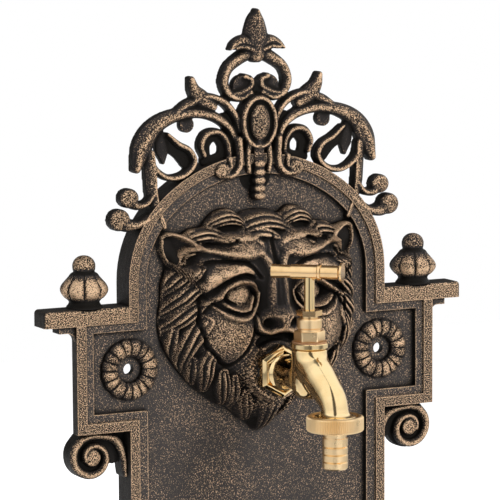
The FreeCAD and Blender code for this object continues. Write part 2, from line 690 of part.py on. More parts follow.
def relief_solid(height):
    # Everything between the relief surface and the plane of the field.
    reach = MASK_R + MASK_EAR
    count = int(2 * reach / MASK_GRID)
    rows = []
    for i in range(count + 1):
        x = -reach + 2 * reach * i / count
        row = []
        for j in range(count + 1):
            z = MASK_CENTRE_Z - reach + 2 * reach * j / count
            row.append(V(x, FIELD_Y - height(x, z), z))
        rows.append(row)
    surface = Part.BSplineSurface()
    surface.interpolate(rows)
    solid = surface.toShape().extrude(V(0, 80, 0))
    return solid.common(box(-reach - 5, reach + 5, -120, FIELD_Y,
                            MASK_CENTRE_Z - reach - 5, MASK_CENTRE_Z + reach + 5))


def hollow_relief(x, z):
    s = MASK_HOLLOW_SCALE
    return mask_relief(x / s, (z - MASK_CENTRE_Z) / s + MASK_CENTRE_Z) - MASK_WALL


def make_mask():
    head = relief_solid(mask_relief)
    head = max(head.Solids, key=lambda s: s.Volume)
    inside = relief_solid(hollow_relief)
    inside = max(inside.Solids, key=lambda s: s.Volume)
    # In the mouth, a boss with a flat face that the tap's collar clamps on
    boss_y = MOUTH_BACK_Y
    boss = cylinder(MOUTH_BOSS_R, V(0, boss_y, INLET_Z), OUT, MOUTH_BOSS_THICKNESS)
    mask = head.cut(inside).fuse(boss)
    front = cylinder(MOUTH_BOSS_R, V(0, MOUTH_FACE_Y, INLET_Z), OUT, 40)
    mask = mask.cut(front)
    room = cylinder(INLET_NUT_AF / math.sqrt(3) + INLET_NUT_ROOM, V(0, 0, INLET_Z), OUT, -MOUTH_BACK_Y)
    hole = cylinder(INLET_R + INLET_HOLE_CLEARANCE, V(0, 0, INLET_Z), OUT, 80)
    return mask.cut(room).cut(hole)


def tap_point(depth, z):
    return V(0, -depth, z)


def swan_neck(radius, end_z):
    # A tube from the valve chamber down the slope and round to the vertical spout.
    slope = math.radians(SPOUT_SLOPE_DEG)
    bend_start = SPOUT_DEPTH - SPOUT_BEND_R * (1 - math.sin(slope))
    # The bore leaves the chamber just outside the seat lip, so the seat stays whole.
    start_depth = SPINDLE_DEPTH + SPOUT_START
    line_z = (CHAMBER_FLOOR_Z + SPOUT_BORE_R / math.cos(slope)
              + (SEAT_LIP_R + SEAT_MARGIN - SPOUT_START) * math.tan(slope))
    bend_z = line_z - (bend_start - start_depth) * math.tan(slope)
    centre = tap_point(SPOUT_DEPTH - SPOUT_BEND_R, bend_z - SPOUT_BEND_R * math.cos(slope))
    half = (math.pi / 2 - slope) / 2
    middle = centre + V(0, -SPOUT_BEND_R * math.cos(half), SPOUT_BEND_R * math.sin(half))
    low = tap_point(SPOUT_DEPTH, centre.z)
    a = tap_point(start_depth, line_z)
    b = tap_point(bend_start, bend_z)
    path = Part.Wire([Part.makeLine(a, b), arc(b, middle, low),
                      Part.makeLine(low, tap_point(SPOUT_DEPTH, end_z))])
    ring_wire = Part.Wire(Part.makeCircle(radius, a, b - a))
    return path.makePipeShell([ring_wire], True, False)


def make_tap_body():
    axis = V(0, SPINDLE_Y, 0)
    outer = cylinder(INLET_R, V(0, -INLET_END_DEPTH, INLET_Z), OUT, -COLLAR_BACK_Y - INLET_END_DEPTH)
    collar = hexagon(COLLAR_AF, V(0, COLLAR_BACK_Y, INLET_Z), OUT, COLLAR_THICKNESS, 0)
    rounding = Part.makeCone(COLLAR_AF / 2 + COLLAR_THICKNESS + 1.2, COLLAR_AF / 2 - 0.2,
                             COLLAR_THICKNESS, V(0, COLLAR_BACK_Y, INLET_Z), OUT)
    collar = collar.common(rounding)
    neck = cylinder(NECK_R, V(0, COLLAR_FRONT_Y, INLET_Z), OUT, SPINDLE_DEPTH + COLLAR_FRONT_Y)
    globe = Part.makeSphere(GLOBE_R, V(0, SPINDLE_Y, GLOBE_Z))
    barrel = cylinder(BODY_R, V(0, SPINDLE_Y, GLOBE_Z), UP, BODY_TOP_Z - GLOBE_Z)
    rim = cylinder(RIM_R, V(0, SPINDLE_Y, BODY_TOP_Z - RIM_THICKNESS), UP, RIM_THICKNESS)
    spout = swan_neck(SPOUT_R, SPOUT_END_Z)
    flare_z = UNION_TOP_Z + 4.5
    flare = Part.makeCone(SPOUT_R, SPOUT_FLARE_R, flare_z - UNION_TOP_Z,
                          V(0, SPOUT_Y, flare_z), V(0, 0, -1))
    shank = cylinder(SPOUT_FLARE_R, V(0, SPOUT_Y, UNION_TOP_Z), V(0, 0, -1),
                     UNION_TOP_Z - SPOUT_THREAD_TOP_Z)
    thread = cylinder(SPOUT_THREAD_R, V(0, SPOUT_Y, SPOUT_THREAD_TOP_Z), V(0, 0, -1),
                      SPOUT_THREAD_TOP_Z - SPOUT_END_Z)
    body = outer.multiFuse([collar, neck, globe, barrel, rim, spout, flare, shank, thread])
    # Thread runout behind the locknut
    nut_back_y = MOUTH_BACK_Y + INLET_NUT_THICKNESS
    body = body.cut(ring(INLET_R + 1, INLET_R - RUNOUT_DROP, V(0, nut_back_y, INLET_Z), V(0, 1, 0),
                         INLET_RUNOUT))
    # Waterway: inlet bore, seat, chamber, then the swan neck
    inlet = cylinder(INLET_BORE_R, V(0, 0, INLET_Z - 1.5), OUT, SPINDLE_DEPTH + 4)
    seat = cylinder(SEAT_R, V(0, SPINDLE_Y, INLET_Z), UP, BODY_TOP_Z - INLET_Z)
    chamber = cylinder(CHAMBER_R, V(0, SPINDLE_Y, CHAMBER_FLOOR_Z), UP, BODY_TOP_Z)
    body = body.cut(inlet).cut(seat).cut(chamber).cut(swan_neck(SPOUT_BORE_R, SPOUT_END_Z - 1))
    lip = ring(SEAT_LIP_R, SEAT_R, V(0, SPINDLE_Y, CHAMBER_FLOOR_Z), UP,
               SEAT_LIP_Z - CHAMBER_FLOOR_Z)
    return body.fuse(lip).removeSplitter()


def make_bonnet():
    hex_z = BODY_TOP_Z + SEAL_THICKNESS
    face_turn = -90 - FACET_TURN_DEG
    bonnet = cylinder(CHAMBER_R - THREAD_GAP, V(0, SPINDLE_Y, BONNET_SHANK_Z), UP,
                      hex_z - BONNET_SHANK_Z)
    nut = hexagon(BONNET_AF, V(0, SPINDLE_Y, hex_z), UP, BONNET_HEX_HEIGHT, face_turn)
    barrel = cylinder(BONNET_R, V(0, SPINDLE_Y, hex_z + BONNET_HEX_HEIGHT), UP,
                      BONNET_TOP_Z - hex_z - BONNET_HEX_HEIGHT)
    bonnet = bonnet.fuse([nut, barrel])
    bore = cylinder(STEM_THREAD_R + THREAD_GAP, V(0, SPINDLE_Y, BONNET_SHANK_Z), UP, 60)
    gland_floor = GLAND_HEX_Z - GLAND_SHANK_LENGTH - PACKING_HEIGHT
    gland = cylinder(GLAND_SHANK_R + THREAD_GAP, V(0, SPINDLE_Y, gland_floor), UP, 30)
    return bonnet.cut(bore).cut(gland).removeSplitter()


def make_spindle():
    foot_z = SEAT_LIP_Z + VALVE_WASHER_THICKNESS + JUMPER_THICKNESS
    thread_top = STEM_THREAD_Z + STEM_THREAD_LENGTH
    shoulder = HANDLE_Z - HUB_SEAT
    parts = [
        cylinder(STEM_FOOT_R, V(0, SPINDLE_Y, foot_z), UP, STEM_THREAD_Z - foot_z),
        cylinder(STEM_THREAD_R, V(0, SPINDLE_Y, STEM_THREAD_Z), UP, STEM_THREAD_LENGTH),
        cylinder(STEM_R, V(0, SPINDLE_Y, thread_top), UP, shoulder - thread_top),
        cylinder(STEM_SPIGOT_R, V(0, SPINDLE_Y, shoulder), UP, HANDLE_Z - shoulder),
    ]
    spindle = parts[0].multiFuse(parts[1:])
    socket = cylinder(JUMPER_STEM_R + THREAD_GAP, V(0, SPINDLE_Y, foot_z), UP,
                      JUMPER_STEM_LENGTH + 1)
    return spindle.cut(socket)


def make_handle():
    # A turned bar: plain grip behind, hub on the spindle, collar, front grip and end disc.
    profile = [(0, -GRIP_BACK_END), (GRIP_R + 0.1, -GRIP_BACK_END), (GRIP_R - 0.4, -HUB_BACK),
               (HANDLE_HUB_R, -HUB_BACK), (HANDLE_HUB_R, HUB_FRONT), (GRIP_R - 0.6, HUB_FRONT),
               (GRIP_R - 0.6, HUB_FRONT + 0.6), (COLLAR_R, HUB_FRONT + 0.6),
               (COLLAR_R, HUB_FRONT + 2.0), (GRIP_R, HUB_FRONT + 2.0), (GRIP_R, GRIP_FRONT_END),
               (END_DISC_R, GRIP_FRONT_END + 1.4), (END_DISC_R, HANDLE_END), (0, HANDLE_END)]
    bar = revolved(profile, 0, 0)
    turn = math.radians(HANDLE_TURN_DEG)
    along = V(math.cos(turn), math.sin(turn), 0)
    bar.Placement = FreeCAD.Placement(V(0, SPINDLE_Y, HANDLE_Z), FreeCAD.Rotation(UP, along))
    socket = cylinder(STEM_SPIGOT_R + THREAD_GAP, V(0, SPINDLE_Y, HANDLE_Z - 10), UP, 10)
    shoulder = cylinder(STEM_R + THREAD_GAP, V(0, SPINDLE_Y, HANDLE_Z - 10), UP, 10 - HUB_SEAT)
    return bar.cut(socket).cut(shoulder)


def make_jumper():
    disc_z = SEAT_LIP_Z + VALVE_WASHER_THICKNESS
    plate = cylinder(JUMPER_R, V(0, SPINDLE_Y, disc_z), UP, JUMPER_THICKNESS)
    stem = cylinder(JUMPER_STEM_R, V(0, SPINDLE_Y, disc_z + JUMPER_THICKNESS), UP, JUMPER_STEM_LENGTH)
    stud_length = VALVE_WASHER_THICKNESS + JUMPER_NUT_THICKNESS
    stud = cylinder(1.5, V(0, SPINDLE_Y, disc_z), V(0, 0, -1), stud_length)
    return plate.multiFuse([stem, stud])


def make_union_nut():
    nut = cylinder(UNION_R, V(0, SPOUT_Y, UNION_BOTTOM_Z), UP, UNION_TOP_Z - UNION_BOTTOM_Z)
    rims = [e for e in nut.Edges if len(e.Vertexes) == 1]
    nut = nut.makeChamfer(0.6, rims)
    thread = cylinder(SPOUT_THREAD_R + UNION_GAP, V(0, SPOUT_Y, UNION_BOTTOM_Z + UNION_SHOULDER),
                      UP, 20)
    hole = cylinder(UNION_HOLE_R, V(0, SPOUT_Y, UNION_BOTTOM_Z), UP, 20)
    return nut.cut(thread).cut(hole)


def make_hose_tail():
    # A collar held by the nut, a grooved neck, then the ringed tail that a hose pushes on.
    collar_z = UNION_BOTTOM_Z + UNION_SHOULDER
    neck_z = UNION_BOTTOM_Z - TAIL_NECK_DROP
    profile = [(TAIL_BORE_R, TAIL_END_Z), (TAIL_R - TAIL_END_CHAMFER, TAIL_END_Z),
               (TAIL_R, TAIL_END_Z + TAIL_END_CHAMFER)]
    for k in range(1, TAIL_RINGS + 1):
        z = TAIL_END_Z + TAIL_RING_PITCH * k
        profile += [(TAIL_R, z - TAIL_GROOVE), (TAIL_R - TAIL_GROOVE, z), (TAIL_R, z + TAIL_GROOVE)]
    profile += [(TAIL_R, neck_z - TAIL_NECK_WIDTH), (TAIL_NECK_R, neck_z - TAIL_NECK_WIDTH),
                (TAIL_NECK_R, neck_z), (TAIL_SHANK_R, neck_z), (TAIL_SHANK_R, collar_z),
                (TAIL_COLLAR_R, collar_z), (TAIL_COLLAR_R, collar_z + TAIL_COLLAR_THICKNESS),
                (TAIL_BORE_R, collar_z + TAIL_COLLAR_THICKNESS)]
    return revolved(profile, 0, SPOUT_Y)


def basin_profile(inset):
    # Half section of the bowl as radius and height; the inset one is the inner skin.
    top = BASIN_TOP_Z + (5 if inset else 0)
    r = BASIN_R - BASIN_LIP_IN - inset
    floor_z = BASIN_BOTTOM_Z + inset
    lip_z = BASIN_TOP_Z - BASIN_LIP_DROP
    floor = V(BASIN_FLOOR_R - inset, 0, floor_z)
    shoulder = V(r, 0, lip_z)
    middle = V(BASIN_FLOOR_R + 0.78 * (r - BASIN_FLOOR_R), 0, floor_z + 0.36 * (lip_z - floor_z))
    edges = [Part.makeLine(V(0, 0, floor_z), floor), arc(floor, middle, shoulder)]
    if inset:
        edges.append(Part.makeLine(shoulder, V(r, 0, top)))
        edges.append(Part.makeLine(V(r, 0, top), V(0, 0, top)))
    else:
        edges.append(Part.makeLine(shoulder, V(BASIN_R, 0, lip_z + 3)))
        edges.append(Part.makeLine(V(BASIN_R, 0, lip_z + 3), V(BASIN_R, 0, top - 3)))
        edges.append(arc(V(BASIN_R, 0, top - 3), V(BASIN_R - 0.9, 0, top - 0.9), V(BASIN_R - 3, 0, top)))
        edges.append(Part.makeLine(V(BASIN_R - 3, 0, top), V(0, 0, top)))
    edges.append(Part.makeLine(V(0, 0, top), V(0, 0, floor_z)))
    solid = Part.Face(Part.Wire(edges)).revolve(V(0, 0, 0), UP, 360)
    solid.translate(V(0, BASIN_Y, 0))
    return solid


def make_basin():
    reach = BASIN_R + 10
    low = BASIN_BOTTOM_Z - 10
    outside = basin_profile(0).common(box(-reach, reach, -400, FRONT_Y, low, BASIN_TOP_Z + 10))
    inside = basin_profile(BASIN_WALL).common(box(-reach, reach, -400, BASIN_INNER_Y, low,
                                                  BASIN_TOP_Z + 20))
    basin = outside.cut(inside)
    basin = basin.cut(cylinder(DRAIN_HOLE_R, V(0, BASIN_Y, low), UP, 40))
    for x in (-BOLT_X, BOLT_X):
        for z in BOLT_ROWS_Z:
            basin = basin.cut(cylinder(BOLT_HOLE_R, V(x, 0, z), OUT, -BASIN_INNER_Y + 1))
    return basin.removeSplitter()


def at_bolts(make):
    return Part.makeCompound([make(x, z) for x in (-BOLT_X, BOLT_X) for z in BOLT_ROWS_Z])


def bolt(x, z):
    head_y = BASIN_INNER_Y - BOLT_SEAL_THICKNESS
    head = hexagon(BOLT_HEAD_AF, V(x, head_y, z), OUT, BOLT_HEAD_HEIGHT, 0)
    return head.fuse(cylinder(BOLT_R, V(x, -BOLT_END, z), OUT, -head_y - BOLT_END))


def bolt_seal(x, z):
    return ring(BOLT_SEAL_R, BOLT_R + THREAD_GAP, V(x, BASIN_INNER_Y, z), OUT, BOLT_SEAL_THICKNESS)


def bolt_washer(x, z):
    return ring(BOLT_WASHER_R, BOLT_R + 0.2, V(x, HOLLOW_Y + BOLT_WASHER_THICKNESS, z), OUT,
                BOLT_WASHER_THICKNESS)


def bolt_nut(x, z):
    start = V(x, HOLLOW_Y + BOLT_WASHER_THICKNESS + BOLT_NUT_HEIGHT, z)
    nut = hexagon(BOLT_HEAD_AF, start, OUT, BOLT_NUT_HEIGHT, 0)
    return nut.cut(cylinder(BOLT_R + THREAD_GAP, start, OUT, BOLT_NUT_HEIGHT))


def make_drain_strainer():
    seat_z = BASIN_FLOOR_Z + DRAIN_GASKET_THICKNESS
    flange = cylinder(DRAIN_FLANGE_R, V(0, BASIN_Y, seat_z), UP, DRAIN_FLANGE_THICKNESS)
    tail = cylinder(DRAIN_R, V(0, BASIN_Y, DRAIN_TAIL_END_Z), UP, seat_z - DRAIN_TAIL_END_Z)
    drain = flange.fuse(tail)
    # Thread runout below the locknut
    nut_foot_z = BASIN_BOTTOM_Z - DRAIN_WASHER_THICKNESS - DRAIN_NUT_HEIGHT
    drain = drain.cut(ring(DRAIN_R + 1, DRAIN_R - RUNOUT_DROP, V(0, BASIN_Y, nut_foot_z), V(0, 0, -1),
                           DRAIN_RUNOUT))
    # The bore stays open below the flange and is barred across it
    drain = drain.cut(cylinder(DRAIN_BORE_R, V(0, BASIN_Y, DRAIN_TAIL_END_Z), UP,
                               seat_z - DRAIN_TAIL_END_Z))
    round_hole = cylinder(DRAIN_BORE_R, V(0, BASIN_Y, seat_z), UP, DRAIN_FLANGE_THICKNESS)
    width = DRAIN_SLOT_PITCH - DRAIN_BAR
    half_count = int(DRAIN_BORE_R / DRAIN_SLOT_PITCH)
    for k in range(-half_count, half_count + 1):
        x = k * DRAIN_SLOT_PITCH
        slot = box(x - width / 2, x + width / 2, BASIN_Y - DRAIN_BORE_R, BASIN_Y + DRAIN_BORE_R,
                   seat_z, seat_z + DRAIN_FLANGE_THICKNESS)
        drain = drain.cut(slot.common(round_hole))
    return drain


def make_all():
    plate = make_back_plate()
    export("back_plate", plate)
    shelf = make_shelf()
    export("shelf_right", shelf)
    export("shelf_left", mirrored(shelf))
    finial = make_finial()
    export("finial_right", finial)
    export("finial_left", mirrored(finial))
    rosette = make_rosette()
    export("rosette_right", rosette)
    export("rosette_left", mirrored(rosette))
    volute = make_volute()
    export("volute_right", volute)
    export("volute_left", mirrored(volute))
    export("crest", make_crest(plate))
    export("lion_mask", make_mask())

    export("tap_body", make_tap_body())
    export("inlet_washer", ring(INLET_R + 3.5, INLET_R + THREAD_GAP, V(0, MOUTH_FACE_Y, INLET_Z),
                                OUT, WASHER_THICKNESS))
    nut_back = V(0, MOUTH_BACK_Y + INLET_NUT_THICKNESS, INLET_Z)
    inlet_nut = hexagon(INLET_NUT_AF, nut_back, OUT, INLET_NUT_THICKNESS, 90)
    export("inlet_locknut", inlet_nut.cut(cylinder(INLET_R + THREAD_GAP, nut_back, OUT,
                                                   INLET_NUT_THICKNESS)))
    export("tap_bonnet", make_bonnet())
    export("bonnet_seal", ring(RIM_R - 0.8, CHAMBER_R + THREAD_GAP, V(0, SPINDLE_Y, BODY_TOP_Z), UP,
                               SEAL_THICKNESS))
    gland_bore = STEM_R + THREAD_GAP
    gland = hexagon(GLAND_AF, V(0, SPINDLE_Y, GLAND_HEX_Z), UP, GLAND_HEX_HEIGHT, -60)
    shank_z = GLAND_HEX_Z - GLAND_SHANK_LENGTH
    gland = gland.fuse(cylinder(GLAND_SHANK_R, V(0, SPINDLE_Y, shank_z), UP, GLAND_SHANK_LENGTH))
    export("gland_nut", gland.cut(cylinder(gland_bore, V(0, SPINDLE_Y, shank_z), UP, 20)))
    export("gland_packing", ring(GLAND_SHANK_R, gland_bore,
                                 V(0, SPINDLE_Y, shank_z - PACKING_HEIGHT), UP, PACKING_HEIGHT))
    export("spindle", make_spindle())
    export("tee_handle", make_handle())
    export("valve_jumper", make_jumper())
    export("valve_washer", ring(VALVE_WASHER_R, 1.5 + THREAD_GAP, V(0, SPINDLE_Y, SEAT_LIP_Z), UP,
                                VALVE_WASHER_THICKNESS))
    export("jumper_nut", ring(JUMPER_NUT_R, 1.5 + THREAD_GAP,
                              V(0, SPINDLE_Y, SEAT_LIP_Z - JUMPER_NUT_THICKNESS), UP,
                              JUMPER_NUT_THICKNESS))
    export("union_nut", make_union_nut())
    export("hose_tail", make_hose_tail())
    washer_z = UNION_BOTTOM_Z + UNION_SHOULDER + TAIL_COLLAR_THICKNESS
    export("union_washer", ring(TAIL_COLLAR_R, TAIL_BORE_R, V(0, SPOUT_Y, washer_z), UP,
                                SPOUT_END_Z - washer_z))

    export("basin", make_basin())
    export("basin_bolts", at_bolts(bolt))
    export("basin_bolt_seals", at_bolts(bolt_seal))
    export("basin_bolt_washers", at_bolts(bolt_washer))
    export("basin_bolt_nuts", at_bolts(bolt_nut))
    export("drain_strainer", make_drain_strainer())
    export("drain_gasket", ring(DRAIN_FLANGE_R, DRAIN_R + THREAD_GAP, V(0, BASIN_Y, BASIN_FLOOR_Z), UP,
                                DRAIN_GASKET_THICKNESS))
    washer_top = V(0, BASIN_Y, BASIN_BOTTOM_Z)
    export("drain_washer", ring(DRAIN_WASHER_R, DRAIN_R + THREAD_GAP, washer_top, V(0, 0, -1),
                                DRAIN_WASHER_THICKNESS))
    nut_top = V(0, BASIN_Y, BASIN_BOTTOM_Z - DRAIN_WASHER_THICKNESS)
    drain_nut = hexagon(DRAIN_NUT_AF, nut_top, V(0, 0, -1), DRAIN_NUT_HEIGHT, 0)
    export("drain_locknut", drain_nut.cut(cylinder(DRAIN_R + THREAD_GAP, nut_top, V(0, 0, -1),
                                                   DRAIN_NUT_HEIGHT)))


make_all()
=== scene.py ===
import math

import bmesh
import bpy
import numpy as np
from mathutils import Matrix, Vector


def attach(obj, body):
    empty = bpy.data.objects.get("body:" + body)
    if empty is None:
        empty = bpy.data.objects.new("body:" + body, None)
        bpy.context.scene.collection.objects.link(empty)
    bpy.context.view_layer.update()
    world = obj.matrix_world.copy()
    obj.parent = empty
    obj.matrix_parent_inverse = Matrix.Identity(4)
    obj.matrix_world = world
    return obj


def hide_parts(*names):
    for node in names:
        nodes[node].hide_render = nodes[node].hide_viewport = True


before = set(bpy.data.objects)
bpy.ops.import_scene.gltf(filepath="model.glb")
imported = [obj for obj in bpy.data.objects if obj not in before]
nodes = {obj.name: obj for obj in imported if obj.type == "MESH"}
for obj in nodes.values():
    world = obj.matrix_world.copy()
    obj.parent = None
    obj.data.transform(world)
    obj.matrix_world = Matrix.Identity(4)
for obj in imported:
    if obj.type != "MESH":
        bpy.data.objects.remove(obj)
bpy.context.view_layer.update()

# The back panel is one casting of grey iron: a moulded arch with a sunk field, and two wings. The
# shelves and the basin are cast too. All are painted graphite black, and bronze paint is dragged over
# them with a nearly dry brush, so it stays on raised faces, on edges and as flecks on the grain.
GRAPHITE = (0.040, 0.036, 0.0345, 1)
# The pit colour is painted shade, for corners, grooves, walls and the gaps between bronze flecks.
PAINTED_PIT_SHADE = (0.006, 0.005, 0.004, 1)
BRONZE = (0.76, 0.52, 0.33, 1)
SAND_GRAIN = 1500.0
SAND_LUMPS = 150.0
BRUSH_PATCHES = 21.0
EDGE_RADIUS = 0.0011
CORNER_REACH = 0.005
FIELD_DEPTH = (-0.0126, -0.0140)
FRONT_DEPTH = (-0.0150, -0.0178)
FIELD_BRONZE = (0.13, 0.245)
BRONZE_METALLIC = 0.72
BRONZE_ROUGH = 0.38
PAINT_ROUGH = 0.52


def new_material(name):
    material = bpy.data.materials.new(name)
    material.use_nodes = True
    return material, material.node_tree, material.node_tree.nodes["Principled BSDF"]


def fill(tree, sockets, values):
    # A value is a number or a colour, or else another node's output.
    for socket, value in zip(sockets, values):
        if hasattr(value, "node"):
            tree.links.new(value, socket)
        else:
            socket.default_value = value


def reckon(tree, kind, *values, clamp=True):
    node = tree.nodes.new("ShaderNodeMath")
    node.operation = kind
    node.use_clamp = clamp
    fill(tree, node.inputs, values)
    return node.outputs[0]


def ramp(tree, value, low, high, out_low=0.0, out_high=1.0):
    node = tree.nodes.new("ShaderNodeMapRange")
    node.interpolation_type = "SMOOTHSTEP"
    fill(tree, node.inputs, (value, low, high, out_low, out_high))
    return node.outputs[0]


def grain(tree, scale, detail):
    place = tree.nodes.new("ShaderNodeTexCoord")
    noise = tree.nodes.new("ShaderNodeTexNoise")
    noise.inputs["Scale"].default_value = scale
    noise.inputs["Detail"].default_value = detail
    noise.inputs["Roughness"].default_value = 0.62
    tree.links.new(place.outputs["Object"], noise.inputs["Vector"])
    return noise.outputs["Fac"]


def blend(tree, factor, a, b):
    node = tree.nodes.new("ShaderNodeMix")
    node.data_type = "RGBA"
    fill(tree, (node.inputs["Factor"], node.inputs["A"], node.inputs["B"]), (factor, a, b))
    return node.outputs["Result"]


def bump(tree, height, strength, distance, below=None):
    # Roughens the surface by a pattern of heights, over the normal of what lies below.
    node = tree.nodes.new("ShaderNodeBump")
    node.inputs["Strength"].default_value = strength
    node.inputs["Distance"].default_value = distance
    tree.links.new(height, node.inputs["Height"])
    if below:
        tree.links.new(below, node.inputs["Normal"])
    return node.outputs["Normal"]


def worn_edges(tree, radius):
    # How far the rounded normal turns from the flat one, which is most on the edges.
    flat = tree.nodes.new("ShaderNodeNewGeometry").outputs["Normal"]
    bevel = tree.nodes.new("ShaderNodeBevel")
    bevel.samples = 6
    bevel.inputs["Radius"].default_value = radius
    turn = tree.nodes.new("ShaderNodeVectorMath")
    turn.operation = "DOT_PRODUCT"
    tree.links.new(flat, turn.inputs[0])
    tree.links.new(bevel.outputs["Normal"], turn.inputs[1])
    return ramp(tree, turn.outputs["Value"], 0.999, 0.93), bevel.outputs["Normal"]


def front_depth(tree):
    place = tree.nodes.new("ShaderNodeTexCoord")
    split = tree.nodes.new("ShaderNodeSeparateXYZ")
    tree.links.new(place.outputs["Object"], split.inputs[0])
    return split.outputs["Y"]


def open_share(tree, distance, low, high):
    # How open the surface lies: little in corners and grooves, where the brush does not reach and where the
    # ground is darkened as painted shade.
    around = tree.nodes.new("ShaderNodeAmbientOcclusion")
    around.samples = 6
    around.inputs["Distance"].default_value = distance
    return ramp(tree, around.outputs["AO"], low, high)


def front_facing(tree):
    # The brush is drawn over the front, so walls and upper faces get less bronze; they are also darkened as
    # painted shade.
    flat = tree.nodes.new("ShaderNodeNewGeometry").outputs["Normal"]
    split = tree.nodes.new("ShaderNodeSeparateXYZ")
    tree.links.new(flat, split.inputs[0])
    return ramp(tree, split.outputs["Y"], -0.25, -0.75)


def painted_iron(name, paint, raised_attribute=None, front_share=0.43):
    # On a carved piece an attribute says where it is raised and where painted shade lies; on a flat one its
    # edges, front, corners and walls do.
    material, tree, shader = new_material(name)
    fine = grain(tree, SAND_GRAIN, 4.0)
    reach_and_shade = open_share(tree, CORNER_REACH, 0.45, 0.85)
    rounded = None
    if raised_attribute:
        node = tree.nodes.new("ShaderNodeAttribute")
        node.attribute_name = raised_attribute
        bronze_and_shade = reckon(tree, "POWER", node.outputs["Fac"], 1.45)
    else:
        depth = front_depth(tree)
        edges, rounded = worn_edges(tree, EDGE_RADIUS)
        front = reckon(tree, "MULTIPLY", ramp(tree, depth, *FRONT_DEPTH), front_share)
        high = reckon(tree, "MAXIMUM", reckon(tree, "MULTIPLY", edges, 1.25), front)
        high = reckon(tree, "MULTIPLY", high, ramp(tree, depth, *FIELD_DEPTH))
        field = ramp(tree, grain(tree, BRUSH_PATCHES, 2.0), 0.28, 0.60, *FIELD_BRONZE)
        bronze_and_shade = reckon(tree, "MAXIMUM", high, field)
        facing = ramp(tree, front_facing(tree), 0.0, 1.0, 0.30, 1.0)
        reach_and_shade = reckon(tree, "MULTIPLY", reach_and_shade, facing)
    # The brush leaves more bronze where the surface is high, and skips corners and the grain's pits.
    bronze_and_shade = reckon(tree, "MULTIPLY", bronze_and_shade, reach_and_shade)
    pits = ramp(tree, fine, 0.66, 0.36)
    lift = reckon(tree, "SUBTRACT", reckon(tree, "MULTIPLY", bronze_and_shade, 1.15), pits)
    bronze = ramp(tree, lift, 0.02, 0.32)
    # Low places, corners, walls and the gaps between bronze flecks on high places are darkened to the pit
    # colour as painted shade.
    covered = ramp(tree, bronze_and_shade, 0.30, 0.5, 0.0, 0.9)
    out_of_pit_shade = reckon(tree, "SUBTRACT", ramp(tree, bronze_and_shade, 0.0, 0.10), covered)
    ground = blend(tree, reckon(tree, "MULTIPLY", out_of_pit_shade, reach_and_shade), PAINTED_PIT_SHADE, paint)
    colour = blend(tree, bronze, ground, BRONZE)
    tree.links.new(colour, shader.inputs["Base Color"])
    tree.links.new(ramp(tree, bronze, 0.0, 1.0, 0.0, BRONZE_METALLIC), shader.inputs["Metallic"])
    tree.links.new(ramp(tree, bronze, 0.0, 1.0, PAINT_ROUGH, BRONZE_ROUGH), shader.inputs["Roughness"])
    shader.inputs["Specular IOR Level"].default_value = 0.12
    lumps = bump(tree, grain(tree, SAND_LUMPS, 1.0), 0.35, 0.0016, rounded)
    tree.links.new(bump(tree, fine, 0.55, 0.0007, lumps), shader.inputs["Normal"])
    return material


flat_iron = painted_iron("brushed_iron_panel", GRAPHITE)
shelf_iron = painted_iron("brushed_iron_shelves", GRAPHITE, front_share=0.52)


def dress(material, *names):
    for name in names:
        slots = nodes[name].data.materials
        slots.clear()
        slots.append(material)


dress(flat_iron, "back_plate", "basin")
dress(shelf_iron, "shelf_left", "shelf_right")

# The crest is an openwork casting: C-scrolls, curls and leaves that spring from a medallion, each a
# bar with a ridged front and plain sides in painted shade, and a fleur on a lyre-shaped loop on top.
# The S-arms, the stem and its beads lie over the front of the arch.
MM = 0.001
CREST_BACK = -9.0
CREST_SHOULDER = -14.6
CREST_RIDGE = -18.0
CREST_MIDDLE_Z = 124.5
CREST_SPREAD = 1.012
BOSS_STEPS = 28
# The carved pieces stand on a darker copy of the graphite: painted shade.
SHADED_GRAPHITE = (0.020, 0.0175, 0.017, 1)
strokes = bmesh.new()


def smooth_path(points, steps=7):
    # A curve through the points, with any number of values to a point.
    p = np.array(points, float)
    p = np.vstack([2 * p[0] - p[1], p, 2 * p[-1] - p[-2]])
    rows = []
    for i in range(1, len(p) - 2):
        for k in range(steps):
            t = k / steps
            rows.append(0.5 * (2 * p[i] + (p[i + 1] - p[i - 1]) * t
                               + (2 * p[i - 1] - 5 * p[i] + 4 * p[i + 1] - p[i + 2]) * t * t
                               + (3 * p[i] - p[i - 1] - 3 * p[i + 1] + p[i + 2]) * t ** 3))
    rows.append(p[-2])
    return np.array(rows)


